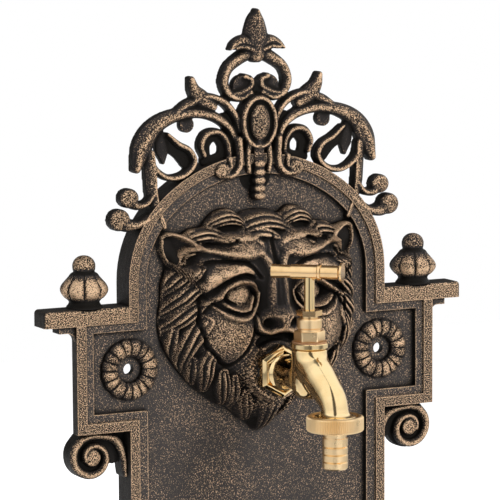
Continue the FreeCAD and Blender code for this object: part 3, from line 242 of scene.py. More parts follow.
def scroll_bar(points, shoulder=CREST_SHOULDER, ridge=CREST_RIDGE, back=CREST_BACK, lean=0.0, both=True):
    # A bar along points (x, z, width): flat back, plain sides, and a ridge along its front.
    path = smooth_path(points)
    along = np.gradient(path[:, :2], axis=0)
    along /= np.linalg.norm(along, axis=1)[:, None]
    caps = (0.92, 0.7, 0.38)
    stations = [(path[0, :2] - along[0] * path[0, 2] / 2 * c, along[0], path[0, 2] * math.sqrt(1 - c * c), c)
                for c in caps]
    stations += [(path[i, :2], along[i], path[i, 2], 0.0) for i in range(len(path))]
    stations += [(path[-1, :2] + along[-1] * path[-1, 2] / 2 * c, along[-1],
                  path[-1, 2] * math.sqrt(1 - c * c), c) for c in reversed(caps)]
    for side in ((1, -1) if both else (1,)):
        rings = []
        for place, way, width, cap in stations:
            top = ridge + (shoulder - ridge) * cap ** 3
            slope = shoulder + 0.72 * (top - shoulder)
            section = [(-0.5, back), (-0.5, shoulder), (-0.27 + 0.5 * lean, slope), (lean, top),
                       (0.27 + 0.5 * lean, slope), (0.5, shoulder), (0.5, back)]
            ring = []
            for off, y in section:
                x = place[0] - way[1] * off * width
                z = place[1] + way[0] * off * width
                ring.append(strokes.verts.new((side * x * MM, y * MM, z * MM)))
            rings.append(ring)
        for a, b in zip(rings, rings[1:]):
            for k in range(len(a)):
                n = (k + 1) % len(a)
                strokes.faces.new((a[k], a[n], b[n], b[k]))
        strokes.faces.new(rings[0])
        strokes.faces.new(rings[-1])


def scroll_boss(x, z, half_x, half_z, y_top, back=CREST_BACK, shoulder=CREST_SHOULDER, both=True):
    # A round or oval boss with a domed front.
    for side in ((1, -1) if both else (1,)):
        rings = []
        for share, y in ((1.0, back), (1.0, shoulder), (0.93, shoulder + 0.37 * (y_top - shoulder)),
                         (0.75, shoulder + 0.67 * (y_top - shoulder)),
                         (0.45, shoulder + 0.9 * (y_top - shoulder)), (0.12, y_top)):
            ring = []
            for k in range(BOSS_STEPS):
                a = 2 * math.pi * k / BOSS_STEPS
                ring.append(strokes.verts.new((side * (x + half_x * share * math.cos(a)) * MM, y * MM,
                                               (z + half_z * share * math.sin(a)) * MM)))
            rings.append(ring)
        for a, b in zip(rings, rings[1:]):
            for k in range(BOSS_STEPS):
                n = (k + 1) % BOSS_STEPS
                strokes.faces.new((a[k], a[n], b[n], b[k]))
        strokes.faces.new(rings[0])
        strokes.faces.new(rings[-1])


# Great C-scroll, which broadens to a leaf at the side and curls over the front of the arch
scroll_bar([(13, 128, 4.6), (17, 139, 5), (27, 147, 6), (42, 150, 6.5), (57, 147.5, 8.5), (68, 141, 10.5),
            (74, 131, 12), (78, 119, 6)], lean=-0.06)
scroll_bar([(70.5, 138, 5), (75.5, 129, 6), (78, 119, 3.5)], shoulder=-16.8, ridge=-18.6)
# Inner curl and its folded black leaf
scroll_bar([(69, 123, 4.6), (65, 117, 4), (57, 112.5, 4), (47, 114, 4.4), (41, 121, 4.4), (44, 128, 4),
            (51, 132, 3.8), (58, 138, 2.6)], lean=0.05)
scroll_bar([(60.8, 140.6, 1.6), (61.2, 138, 5), (61.4, 133.6, 7.6), (60.8, 128.6, 8.4), (60.4, 125, 5.6),
            (60.2, 121.6, 2.4)], shoulder=-13.2, ridge=-14.2)
scroll_bar([(60, 134, 6), (55, 131, 8.4), (49.6, 127.4, 9), (45.4, 121, 7)], shoulder=-12.6, ridge=-13.2)
scroll_bar([(13, 134, 9), (16.5, 140, 9), (20.4, 146, 6)], shoulder=-12.6, ridge=-13.2)
# Side arm, with its ridge along the inner edge, and two lower curls that end in round drops
scroll_bar([(70, 127, 6.5), (69, 115, 7), (68.3, 104, 6.6), (65.5, 93, 5.5), (61.5, 84, 4)], lean=-0.34)
scroll_bar([(67.5, 104, 4), (72, 98.5, 4.2), (78, 97.5, 5.6), (82.6, 101.2, 9)], ridge=-18.4)
scroll_boss(83.2, 102, 6.2, 5.8, -18.8)
scroll_bar([(64, 95, 5), (69.5, 90.5, 5.4), (77, 86.5, 5.6), (84, 86.4, 8.4), (88.6, 89.2, 10.5)],
           ridge=-18.6)
scroll_boss(89.4, 89.6, 6.7, 6.5, -19.2)
# Branch that rises from the medallion to the thorn
scroll_bar([(11.5, 138, 4), (13.5, 146, 4.6), (20, 154.4, 4.8), (30, 158.6, 5), (39, 157.6, 6)], lean=0.08)
scroll_bar([(29, 153.5, 7), (36, 158.5, 10), (40.4, 163.5, 7.4), (42.2, 169.4, 4.2)], shoulder=-15.2)
scroll_bar([(39, 157, 5), (45, 154.6, 6), (53, 150, 4)], shoulder=-14.2, ridge=-17.2)
scroll_boss(45.2, 143.2, 4.6, 4.8, -14.8)
# Ring curl beside the medallion, open at its lower outer side, with a small hole through it
scroll_bar([(34.4, 124.5, 3.4), (36.2, 130.6, 4.4), (32.4, 137, 4.8), (25, 137.8, 4.6), (19.6, 132.4, 4.4),
            (18.2, 124.5, 4.4), (19.6, 116.5, 4)], shoulder=-14.0, ridge=-17.6)
scroll_bar([(32, 124, 6), (31.8, 131, 6), (26.6, 134.8, 5), (21.8, 130.6, 5), (21.8, 124, 6), (27, 121, 7),
            (33, 121, 6)], shoulder=-12.4, ridge=-12.8)
# S-arm that carries the great scroll on over the arch, and its round end
scroll_bar([(13.2, 133, 4.8), (12.6, 124, 4.8), (13.4, 117, 4.8), (18, 112.4, 4.8), (23.5, 112.6, 5)],
           shoulder=-18.2, ridge=-21.6, back=-12.0)
scroll_boss(24.0, 115.2, 5.2, 4.8, -21.8, back=-12.0, shoulder=-18.4)
scroll_bar([(19.2, 122, 4), (18.8, 117.5, 3.8), (21, 115, 3.4)], shoulder=-18.0, ridge=-20.6, back=-12.0)
# Lyre loop, with two curls that meet under it
scroll_bar([(4, 184, 8), (11, 180.4, 7.4), (18, 175, 6.4), (20.8, 167.2, 6), (18, 160.4, 5.8),
            (11, 157.6, 5.2), (4, 160.4, 4)], lean=0.08)
scroll_bar([(16, 159.5, 4), (10.6, 160.4, 4), (4.2, 163.8, 4), (3.6, 168, 4), (7.6, 170, 3.6)],
           shoulder=-15.0, ridge=-17.6)
scroll_boss(7.4, 164.2, 8.0, 7.0, -15.2)
scroll_boss(0, 160.5, 7.0, 7.0, -13.6, both=False)
# Fleur: a tall middle leaf with a rib, two side leaves with turned edges, and its stalk
scroll_bar([(0, 184, 13), (0, 188, 16.5), (0, 193, 16.2), (0, 199, 13.6), (0, 204.5, 9.4), (0, 208.2, 3.6)],
           shoulder=-15.0, ridge=-20.4, back=-11.0, both=False)
scroll_bar([(2, 188, 9), (8.6, 190.6, 7.6), (14.4, 189, 5.2), (17.6, 186.4, 2)], shoulder=-15.4, ridge=-19.4,
           back=-11.0)
scroll_bar([(3, 185.6, 3.4), (9, 187.6, 3.2), (14.2, 187, 2.4)], shoulder=-17.6, ridge=-20.0, back=-11.0)
# Medallion: a dished oval with a raised rim and a domed cabochon
scroll_boss(0, 143, 12.0, 16.0, -18.2, shoulder=-17.6, both=False)
rim = [(10.4 * math.cos(a), 143 + 14.4 * math.sin(a), 3.4) for a in np.radians(np.arange(-90, 91, 15))]
scroll_bar(rim, shoulder=-19.2, ridge=-21.4, back=-12.0)
scroll_boss(0, 143, 6.8, 11.2, -24.0, back=-12.0, shoulder=-18.4, both=False)
# Stem and its beads, with two side bars that run down from the medallion
scroll_bar([(0, 130, 7.5), (0, 121, 6.6), (0, 113, 6.4)], shoulder=-18.6, ridge=-20.4, back=-12.0, both=False)
for bead_z in (118.5, 113.5, 108.6, 103.8, 99.6):
    scroll_boss(0, bead_z, 3.9, 2.8, -22.0, back=-12.0, shoulder=-18.6, both=False)
scroll_bar([(6.4, 131, 3.8), (7.4, 122, 3.8), (6.6, 114.6, 3.4)], shoulder=-18.0, ridge=-20.2, back=-12.0)
# Closed ground behind the medallion and between the scrolls
scroll_bar([(0, 112, 22), (0, 130, 36), (0, 144, 30), (0, 154, 16)], shoulder=-12.6, ridge=-13.2, both=False)


def placed(name, data):
    piece = bpy.data.objects.new(name, data)
    bpy.context.scene.collection.objects.link(piece)
    return piece


def poured(name):
    # The strokes drawn so far become one object.
    bmesh.ops.recalc_face_normals(strokes, faces=strokes.faces)
    shape = bpy.data.meshes.new(name)
    strokes.to_mesh(shape)
    strokes.free()
    return placed(name, shape)


def work_on(piece):
    bpy.ops.object.select_all(action="DESELECT")
    bpy.context.view_layer.objects.active = piece
    piece.select_set(True)


def apply_modifier(piece, kind, **settings):
    work_on(piece)
    modifier = piece.modifiers.new(kind.lower(), kind)
    for name, value in settings.items():
        setattr(modifier, name, value)
    bpy.ops.object.modifier_apply(modifier=modifier.name)


def one_skin(piece, cell, rounds):
    # Melts overlapping solids into one skin, as the pattern maker fills and sands the pattern.
    apply_modifier(piece, "REMESH", mode="VOXEL", voxel_size=cell, adaptivity=0.0)
    apply_modifier(piece, "SMOOTH", factor=0.5, iterations=rounds)


def vertex_rows(mesh, kind="co"):
    rows = np.empty(len(mesh.vertices) * 3)
    mesh.vertices.foreach_get(kind, rows)
    return rows.reshape(-1, 3)


def write_values(mesh, name, values):
    attribute = mesh.attributes.new(name, "FLOAT", "POINT")
    attribute.data.foreach_set("value", values.ravel().astype(np.float32))


def raised_share(mesh, rounds, reach, front=0.0, deep=None, high=None):
    # How far each place stands above its surroundings, where the bronze brush touches it. What lies
    # at the y of deep gets little of it, and what lies at the y of high gets all.
    count = len(mesh.vertices)
    spots = vertex_rows(mesh)
    normals = vertex_rows(mesh, "normal")
    edges = np.empty(len(mesh.edges) * 2, int)
    mesh.edges.foreach_get("vertices", edges)
    a, b = edges.reshape(-1, 2).T
    ends = np.concatenate([a, b])
    other = np.concatenate([b, a])
    neighbours = np.maximum(np.bincount(ends, minlength=count), 1)
    soft = spots.copy()
    for _ in range(rounds):
        soft = np.stack([np.bincount(ends, soft[other, k], count) / neighbours for k in range(3)], 1)
    above = ((spots - soft) * normals).sum(1) / reach
    # Faces turned away from the front get less, so walls go dark with painted shade.
    facing = np.clip(-normals[:, 1] * 1.6 - 0.25, 0, 1)
    share = np.clip(above + front, 0, 1) * (0.25 + 0.75 * facing)
    if deep is not None:
        share = share * np.clip((deep - spots[:, 1] / MM) / (deep - high), 0.10, 1)
    return share


crest = poured("crest_openwork")
spread = Matrix.Translation((0, 0, CREST_MIDDLE_Z * MM)) @ Matrix.Diagonal((CREST_SPREAD, 1, CREST_SPREAD, 1))
crest.data.transform(spread @ Matrix.Translation((0, 0, -CREST_MIDDLE_Z * MM)))
one_skin(crest, cell=0.0006, rounds=3)
bpy.ops.object.shade_smooth()
ridges_and_shade = raised_share(crest.data, rounds=14, reach=0.0009, front=0.34, deep=-12.6, high=-17.2)
write_values(crest.data, "bronze_and_shade", ridges_and_shade)
relief_iron = painted_iron("brushed_iron_relief", SHADED_GRAPHITE, "bronze_and_shade")
crest.data.materials.append(relief_iron)
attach(crest, "fountain")
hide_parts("crest")

# The lion's mask is a hollow casting, about 5 mm thick, whose nose stands 42 mm proud of the sunk
# field. Its face, ears and locks of mane were carved in the pattern. The tap comes out of the mouth,
# where the wall is flat and 30 mm proud, and its locknut sits behind.
MASK_AROUND = 600
MASK_ACROSS = 130
MASK_BEHIND = 8
MASK_HOLE = 10.7
MASK_FLAT = 17.0
MASK_FLAT_HEIGHT = 30.0
MASK_WALL = 5.0
MASK_ROWS = MASK_ACROSS + MASK_BEHIND
FACE_MIDDLE_Z = 27.5
DOME_HEIGHT = 31.0
RELIEF_TOP = 42.0
FIELD_Y = -12.5
MOUTH_Z = -3.0
WELD = 0.00001
# A flat grid is bent round the mouth: its rows run out over the face to the rim and back behind it
bpy.ops.object.select_all(action="DESELECT")
bpy.ops.mesh.primitive_grid_add(x_subdivisions=MASK_AROUND, y_subdivisions=MASK_ROWS, size=2.0)
mask = bpy.context.object
mask.name = "lion_face"
spots = vertex_rows(mask.data)
turn = (spots[:, 0] + 1) * math.pi
row = np.rint((spots[:, 1] + 1) / 2 * MASK_ROWS)
front_row = row <= MASK_ACROSS
share = np.where(front_row, row / MASK_ACROSS, 1 - (row - MASK_ACROSS) / MASK_BEHIND)
# Outline of the right half from the crown to the chin: tufts, ear, side locks and beard
rim_points = [(0, 91.5), (9, 90.5), (14, 88.5), (20, 92.5), (29, 91), (35, 86), (38, 82.5), (46, 81.5),
              (51, 79), (58, 80.5), (66.5, 80.5), (67, 74), (64.5, 66.5), (61, 60), (64, 50), (64.5, 40),
              (66, 30), (65.5, 20), (62, 10), (55, -1), (46.5, -11), (37, -19), (29, -25), (21, -27.5),
              (15, -34), (8, -38), (4, -42.5), (0, -43.5)]
rim_path = smooth_path(rim_points, 8)
rim_turn = np.arctan2(rim_path[:, 0], rim_path[:, 1] - MOUTH_Z)
rim_reach = np.hypot(rim_path[:, 0], rim_path[:, 1] - MOUTH_Z)
order = np.argsort(rim_turn)
half_turn = np.where(turn > math.pi, 2 * math.pi - turn, turn)
edge = np.interp(half_turn, rim_turn[order], rim_reach[order])
reach = MASK_HOLE + (edge - MASK_HOLE) * np.where(front_row, share, share * 0.985)
face_x = reach * np.sin(turn)
face_z = MOUTH_Z + reach * np.cos(turn)
side_x = np.abs(face_x)
rho = np.clip((reach - MASK_HOLE) / (edge - MASK_HOLE), 0, 1)


def swell(across, x, z, half_x, half_z, height):
    return height * np.exp(-((across - x) / half_x) ** 2 - ((face_z - z) / half_z) ** 2)


# Broad forms: a steep-sided dome, brows, eye sockets, cheeks, nose, muzzle and chin
from_middle = np.hypot(face_x, face_z - FACE_MIDDLE_Z)
rim_from_middle = np.hypot(edge * np.sin(turn), edge * np.cos(turn) + MOUTH_Z - FACE_MIDDLE_Z)
dome = DOME_HEIGHT * (1 - np.clip(from_middle / rim_from_middle, 0, 1) ** 2.6) ** 0.75
dome *= np.where(face_z > 56, 1 - np.clip((face_z - 56) / 42, 0, 1) * np.clip(side_x / 55, 0, 1) * 0.9, 1)
ground = dome.copy()
for place in ((26, 67, 18, 6, 4.5), (33, 57, 11, 5, 2.2), (25, 43, 13, 9, -4.5), (34, 21, 12, 14, 4.5),
              (13, 40, 4.5, 13, -4.5), (18, 8, 9, 13, 4.0)):
    ground += swell(side_x, *place)
for place in ((0, 46, 6.5, 17, 3.5), (0, 28, 9, 6.5, 8.0), (0, -21, 14, 10, 4.5), (0, 80, 14, 7, 1.5)):
    ground += swell(face_x, *place)
ground -= 3.0 * np.clip((side_x - 44) / 6, 0, 1) * (face_z < 66)
ground = np.maximum(ground, 0.8)
relief = ground.copy()
brush_and_shade = np.full(len(relief), 0.10)


def follow(points):
    # For each place: how far across the line it lies, -1 to 1 from edge to edge, how far along it,
    # and how high the line is there.
    path = smooth_path(points, 5)
    across = np.full(len(face_x), 9.0)
    along = np.zeros(len(face_x))
    high = np.zeros(len(face_x))
    near = np.flatnonzero((face_x > path[:, 0].min() - 8) & (face_x < path[:, 0].max() + 8)
                          & (face_z > path[:, 1].min() - 8) & (face_z < path[:, 1].max() + 8))
    best = np.full(len(near), 1e9)
    px, pz = face_x[near], face_z[near]
    for i in range(len(path) - 1):
        step = path[i + 1, :2] - path[i, :2]
        long = float(step @ step)
        t = np.clip(((px - path[i, 0]) * step[0] + (pz - path[i, 1]) * step[1]) / long, 0, 1)
        dx = px - path[i, 0] - t * step[0]
        dz = pz - path[i, 1] - t * step[1]
        gap = np.hypot(dx, dz)
        closer = gap < best
        best = np.where(closer, gap, best)
        half = (path[i, 2] + t * (path[i + 1, 2] - path[i, 2])) / 2
        side = np.sign(step[0] * dz - step[1] * dx)
        across[near] = np.where(closer, side * gap / half, across[near])
        along[near] = np.where(closer, (i + t) / (len(path) - 1), along[near])
        high[near] = np.where(closer, path[i, 3] + t * (path[i + 1, 3] - path[i, 3]), high[near])
    return across, along, high


def on_sides(points, sides):
    # The same line on the right, on the left, or on both.
    return [[(s * x, z, width, height) for x, z, width, height in points] for s in sides]


def ridge(points, tint, sides=(1, -1), power=1.5, over=relief):
    # A rounded ridge or ribbon that stands on what is there, or over a ground that is given.
    for line in on_sides(points, sides):
        across, along, high = follow(line)
        body = np.clip(1 - across ** 2, 0, 1) ** power
        relief[:] = np.where(body > 0, np.maximum(relief, over + high * body), relief)
        first, last = tint if isinstance(tint, tuple) else (tint, tint)
        brush_and_shade[:] = np.maximum(brush_and_shade, (first + (last - first) * along) * body ** 0.7)


# A groove sinks into the relief and takes the bronze with it, so it is darkened as painted shade.
def groove(points, sides=(1, -1)):
    for line in on_sides(points, sides):
        across, _, depth = follow(line)
        body = np.clip(1 - across ** 2, 0, 1) ** 1.3
        relief[:] = relief - depth * body
        brush_and_shade[:] = brush_and_shade * (1 - 0.85 * body)


def lock(points, strands, tint, sides=(1, -1)):
    # A lock of hair: a raised tongue with strands that run along it.
    for line in on_sides(points, sides):
        across, _, high = follow(line)
        body = np.clip(1 - across ** 2, 0, 1)
        place = (across + 1) / 2 * strands
        strand = np.clip(4 * (place % 1) * (1 - place % 1), 0, 1)
        top = ground + high * (0.55 * body ** 0.5 + 0.45 * strand ** 0.8 * body ** 0.25)
        wins = (body > 0) & (top > relief)
        relief[:] = np.where(wins, top, relief)
        # Bronze lies on the strands, and the lines between them are darkened as painted shade.
        brush_and_shade[:] = np.where(wins, tint * strand ** 1.6 * body ** 0.2, brush_and_shade)


def within(x, z, half_x, half_z, across=face_x):
    # 1 in the middle of an oval, falling to 0 at its edge.
    return np.clip(1 - ((across - x) / half_x) ** 2 - ((face_z - z) / half_z) ** 2, 0, 1)


def bulge(x, z, half_x, half_z, height, tint, sides=(1, -1), power=1.0):
    for s in sides:
        body = within(s * x, z, half_x, half_z) ** power
        relief[:] += height * body
        brush_and_shade[:] = np.maximum(brush_and_shade, tint * body ** 0.6)


# Side locks, from the temples down to the beard; each lies over the one above it
for points, strands in (
        ([(46, 29, 9, 4), (50.5, 22, 11, 8), (53.5, 12, 11, 8), (53.5, 3, 8, 5), (51.5, -4, 4, 2)], 3),
        ([(58.5, 27, 5, 4), (60.5, 17, 7, 7), (59.5, 8, 6, 5), (57, 1, 3, 2)], 2),
        ([(46.5, 39, 6, 4), (52, 34.5, 10, 8), (58, 28.5, 10, 9), (64.5, 21, 6, 3)], 3),
        ([(46, 49.5, 6, 4), (52, 45.6, 10, 8), (58, 39.6, 10, 9), (64.5, 31.5, 6, 3)], 3),
        ([(46.5, 61.5, 7, 4), (52, 58, 11, 8), (58, 51.5, 12, 9), (64, 43, 7, 3)], 4),
        ([(42, 9, 7, 4), (43, 2, 9, 7), (41.5, -6, 8, 7), (38.5, -15, 4, 3)], 3),
        ([(49, 5, 5, 3), (48.5, -3, 6, 6), (45.5, -11, 4, 2)], 2),
        ([(33, -3, 6, 4), (31.5, -10, 8, 7), (28.5, -18, 7, 6), (25.5, -26, 3, 3)], 3),
        ([(26.5, -6, 5, 4), (24.5, -14, 7, 6.5), (22, -22, 6, 5), (20, -28, 3, 2)], 2),
        ([(17, -17, 7, 4), (15, -25, 8, 6.5), (11, -34, 5, 3)], 3)):
    lock(points, strands, 0.62)
lock([(0, -24, 15, 3), (0, -31, 13, 5), (0, -38, 9, 5), (0, -43, 4, 2)], 4, 0.5, sides=(1,))
# Locks over the crown: two pairs of tufts and a fringe in the middle
lock([(37, 81, 5, 3), (31, 86, 9, 7.5), (23, 88.3, 10, 9), (16, 86, 8, 7.5), (12.5, 82, 4, 3)], 4, 0.7)
lock([(-17.5, 79, 4, 2), (-10, 83.6, 9, 6.5), (0, 85.6, 10, 7.5), (10, 83.2, 9, 6.5), (17.5, 78.5, 4, 2)],
     3, 0.62, sides=(1,))
lock([(-15, 76.5, 4, 2), (-9, 79.2, 7, 5), (-2, 78.8, 7, 5), (5, 76, 4, 2)], 2, 0.8, sides=(1,))
lock([(52.5, 73, 5, 3), (45.5, 77, 10, 9), (37, 78.4, 11, 10.5), (29.5, 75.6, 8, 9), (26, 73, 4, 4)], 4, 0.78)
# Ears: a leaf with a turned rim round a smooth hollow
ear_x = side_x - 57
ear_z = face_z - 70.5
ear_along = (ear_x * 0.80 + ear_z * 0.60) / 14.5
ear_across = (ear_z * 0.80 - ear_x * 0.60) / 9.5
ear = np.clip(1 - ear_along ** 2 - ear_across ** 2, 0, 1)
slope = np.clip(12.5 - 0.62 * (side_x - 47), 3.0, 16.0)
bowl = np.clip(ear / 0.25, 0, 1)
relief[:] = relief * (1 - bowl) + (slope - 5.0 * ear) * bowl
brush_and_shade[:] = brush_and_shade * (1 - bowl) + 0.16 * bowl
ridge([(63.6, 77.6, 3, 6), (60.5, 79.2, 4.4, 8), (56, 79, 5, 10.5), (50, 76, 5.4, 14), (44.5, 71.5, 5, 18)],
      1.0, over=0.0)
ridge([(63.6, 76.6, 3, 6), (63.8, 70, 3, 6), (61.2, 63.5, 3.4, 7), (57, 60.8, 3.4, 9), (52.5, 62, 3.4, 12)],
      0.7, over=0.0)
# Brows, with hair strokes at the temple and a fold above
ridge([(54.5, 62.5, 3, 4), (52.5, 67, 4, 5.5), (48, 70.8, 4.6, 6), (43, 71.5, 4, 4.5)], 0.95)
ridge([(52, 61.5, 2.6, 3), (50.5, 65.5, 3.4, 4.4), (47, 68, 3.4, 4)], 0.85)
bulge(21, 71.5, 17.5, 8.5, 5.6, 0.62, power=0.65)
ridge([(55, 66, 3, 2.6), (50.5, 70.6, 4, 4.4), (43, 70.4, 4.6, 4.2), (34, 68.8, 5, 3.4), (26, 67.8, 5, 2.2),
       (19, 66.4, 4, 0.8)], (0.92, 0.6))
ridge([(10, 68, 6, 2), (5.6, 63, 6, 3.4), (4.4, 56.5, 5, 2.4)], 0.45, power=1.1)
groove([(42, 74, 2.8, 3), (36, 73.8, 3.2, 4), (29, 73.2, 3.2, 4), (23.5, 75, 2.8, 2.6)])
ridge([(33, 76, 4, 2), (27, 77.2, 6, 4), (20, 76.8, 6.4, 4.2), (12, 75.6, 6, 3), (7, 73, 4, 1)], 0.6)
groove([(0.8, 78, 3, 1.6), (0.4, 70, 4, 3.6), (0.2, 60, 4, 3.4), (0, 54, 3, 1.5)], sides=(1,))
# Eyes: a fold under the brow, almond lids in two ribbons, and a round ball
ridge([(45, 48, 5, 1.6), (39.5, 54, 12, 3.0), (31, 57.4, 12.5, 3.6), (22.5, 58.6, 10, 3.0), (16, 57, 6, 1.2)],
      0.66, power=1.0)
groove([(46.5, 60, 2.6, 2), (41, 62.6, 2.8, 2.8), (32, 63, 2.8, 3), (22, 62.8, 3, 3), (15, 59, 3, 2.6),
        (10, 53, 3, 2)])
groove([(45.5, 43.5, 2.6, 2.6), (37, 48.4, 2.8, 3.6), (29.5, 52.9, 2.8, 3.8), (20.5, 55, 2.8, 3.4),
        (14, 52.6, 2.4, 2)])
bulge(24.5, 43.0, 12.5, 8.6, -4.0, 0.0, power=0.35)
ridge([(46, 39.2, 2.6, 3), (38.8, 42.8, 3.4, 6.4), (31.6, 48, 3.8, 7.6), (24.4, 51.2, 4, 7.8),
       (17, 50, 3.8, 7), (13, 45.4, 2.6, 4.6)], (0.55, 0.6), power=0.8)
ridge([(36.5, 40, 2.2, 5), (31.5, 36.8, 2.8, 6), (25, 35, 3, 6.4), (18.5, 36.4, 3, 6.2), (15, 42, 2.6, 5.4)],
      0.6, power=0.8)
ridge([(41.5, 37.8, 2.2, 3), (35.5, 33, 3, 4), (28, 30.2, 3.2, 4.4), (19.5, 31.2, 3.2, 4.2), (13.4, 37, 3, 4),
       (11.6, 44, 2.6, 3)], 0.6, power=0.8)
groove([(40, 39.2, 1.5, 1.6), (34, 35, 1.6, 2.2), (26.5, 32.6, 1.6, 2.4), (19, 33.9, 1.6, 2.4),
        (14, 39.4, 1.5, 2)])
bulge(23.2, 43.3, 8.6, 7.4, 6.2, 0.86, power=0.6)
groove([(33.5, 43.5, 2, 1.4), (31, 39.6, 2.6, 2), (26.5, 37.6, 2, 1.4)])
# Cheeks, parted from the nose and the mane by deep lines
bulge(33, 21, 17, 19, 4.6, 0.68, power=0.8)
groove([(48, 43, 2.6, 2), (48.6, 34, 3.2, 3.6), (48, 24, 3.2, 3.8), (44, 13.5, 3.4, 3.8),
        (37.5, 5.6, 3.6, 3.8), (31.5, 1.6, 3.4, 3), (26.5, 5, 3, 3), (21.5, 13.5, 3.2, 3.6),
        (16.6, 23, 3.4, 3.6), (13.6, 31, 2.6, 2)])
# Nose: bridge, wings with their turned rims, and the mouth under it
ridge([(3.4, 56, 5, 1), (4.6, 48, 6, 1.8), (5, 38, 6, 1.8), (5.4, 31, 5, 1.2)], 0.42)
bulge(0, 27.5, 14.5, 9.5, 4.0, 0.5, sides=(1,), power=0.8)
bulge(6.6, 26.2, 5.0, 4.2, -8.0, 0.0, power=0.8)
# The nostrils are darkened as painted shade.
brush_and_shade *= 1 - 0.8 * within(6.6, 26.2, 5.0, 4.2, side_x)
ridge([(14.4, 29.4, 4, 3), (14, 24, 5.4, 5), (8.8, 20.8, 5.4, 5), (3.4, 22, 5, 4.4), (0, 22.8, 5, 4.4)], 0.62,
      over=ground)
groove([(15.5, 20.6, 2.2, 3), (8, 18.4, 2.4, 5), (0, 18, 2.4, 5)])
mouth = np.clip(1.6 * (1 - (face_x / 17.5) ** 2 - ((face_z - 14.4) / 5.6) ** 2), 0, 1)
relief -= 15.0 * mouth ** 0.6
# The mouth is darkened as painted shade.
brush_and_shade *= 1 - mouth
# Muzzle with a coarse short coat
coat = np.sin(face_x * 1.9 + 1.3 * np.sin(face_z * 1.1)) * np.sin(face_z * 2.1 + 1.1 * np.sin(face_x * 0.9))
muzzle = np.clip(1.25 - ((side_x - 10) / 18) ** 2 - ((face_z + 8) / 25) ** 2, 0, 1)
relief += 0.9 * coat * muzzle
brush_and_shade = np.maximum(brush_and_shade, (0.64 + 0.32 * coat) * muzzle * (1 - mouth))
# The flat round the hole, and the edge that meets the field
flat = np.clip((MASK_FLAT + 3 - reach) / 3, 0, 1)
flat = flat * flat * (3 - 2 * flat)
relief = relief * (1 - flat) + MASK_FLAT_HEIGHT * flat
relief = np.minimum(relief, RELIEF_TOP)
sink = np.clip((rho - 0.982) / 0.018, 0, 1)
relief = np.maximum(relief, 1.2) * (1 - sink ** 2)
# Behind the face the wall follows the dome, and it is thicker where the tap's locknut bears
hollow = np.maximum(0.86 * dome - MASK_WALL, 0.0) * (rho < 0.98)
hollow = np.where(reach < MASK_FLAT + 1, MASK_FLAT_HEIGHT - 6, hollow)
height = np.where(front_row & (share > 0), relief, hollow)
height = np.where((row == 0) | (row == MASK_ROWS), MASK_FLAT_HEIGHT, height)
spots = np.stack([face_x, FIELD_Y - height, face_z], 1) * MM
mask.data.vertices.foreach_set("co", spots.ravel())
write_values(mask.data, "carved_bronze_and_shade", np.where(front_row, brush_and_shade, 0))


def closed_skin(piece, weld=0.0):
    # Welds seams and poles, and turns every face outwards.
    work_on(piece)
    bpy.ops.object.mode_set(mode="EDIT")
    bpy.ops.mesh.select_all(action="SELECT")
    if weld:
        bpy.ops.mesh.remove_doubles(threshold=weld)
    bpy.ops.mesh.normals_make_consistent(inside=False)
    bpy.ops.object.mode_set(mode="OBJECT")


closed_skin(mask, WELD)
bpy.ops.object.shade_smooth()
carved_bronze_and_shade = np.empty(len(mask.data.vertices))
mask.data.attributes["carved_bronze_and_shade"].data.foreach_get("value", carved_bronze_and_shade)
ridges_and_shade = raised_share(mask.data, rounds=10, reach=0.0007)
write_values(mask.data, "bronze_and_shade", np.clip(0.90 * carved_bronze_and_shade + 0.38 * ridges_and_shade, 0, 1))
mask.data.attributes.remove(mask.data.attributes["carved_bronze_and_shade"])
mask.data.materials.append(relief_iron)
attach(mask, "fountain")
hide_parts("lion_mask")

# The rosettes were cut as rings of sixteen shell petals round the two screw holes. The petals are
# rounded, with deep lines between them, and each rises a little differently from the next.
PETALS = 16
SCREW_X = 84.5
RING_MIDDLE = 13.05
RING_HALF = 5.4
PETAL_RISE = 6.2
PETAL_TOP = 6.45


def woven(name, rings, closed_ends):
    # A skin over rings of points, each ring closed on itself; the last ring joins the first,
    # or both ends are closed with a face.
    rings = np.array(rings)
    count, around = rings.shape[:2]
    last = count - 1 if closed_ends else count
    faces = [(i * around + k, i * around + (k + 1) % around, (i + 1) % count * around + (k + 1) % around,
              (i + 1) % count * around + k) for i in range(last) for k in range(around)]
    if closed_ends:
        faces += [tuple(range(around)), tuple((count - 1) * around + k for k in reversed(range(around)))]
    shape = bpy.data.meshes.new(name)
    shape.from_pydata((rings.reshape(-1, 3) * MM).tolist(), [], faces)
    piece = placed(name, shape)
    closed_skin(piece)
    bpy.ops.object.shade_smooth()
    return piece


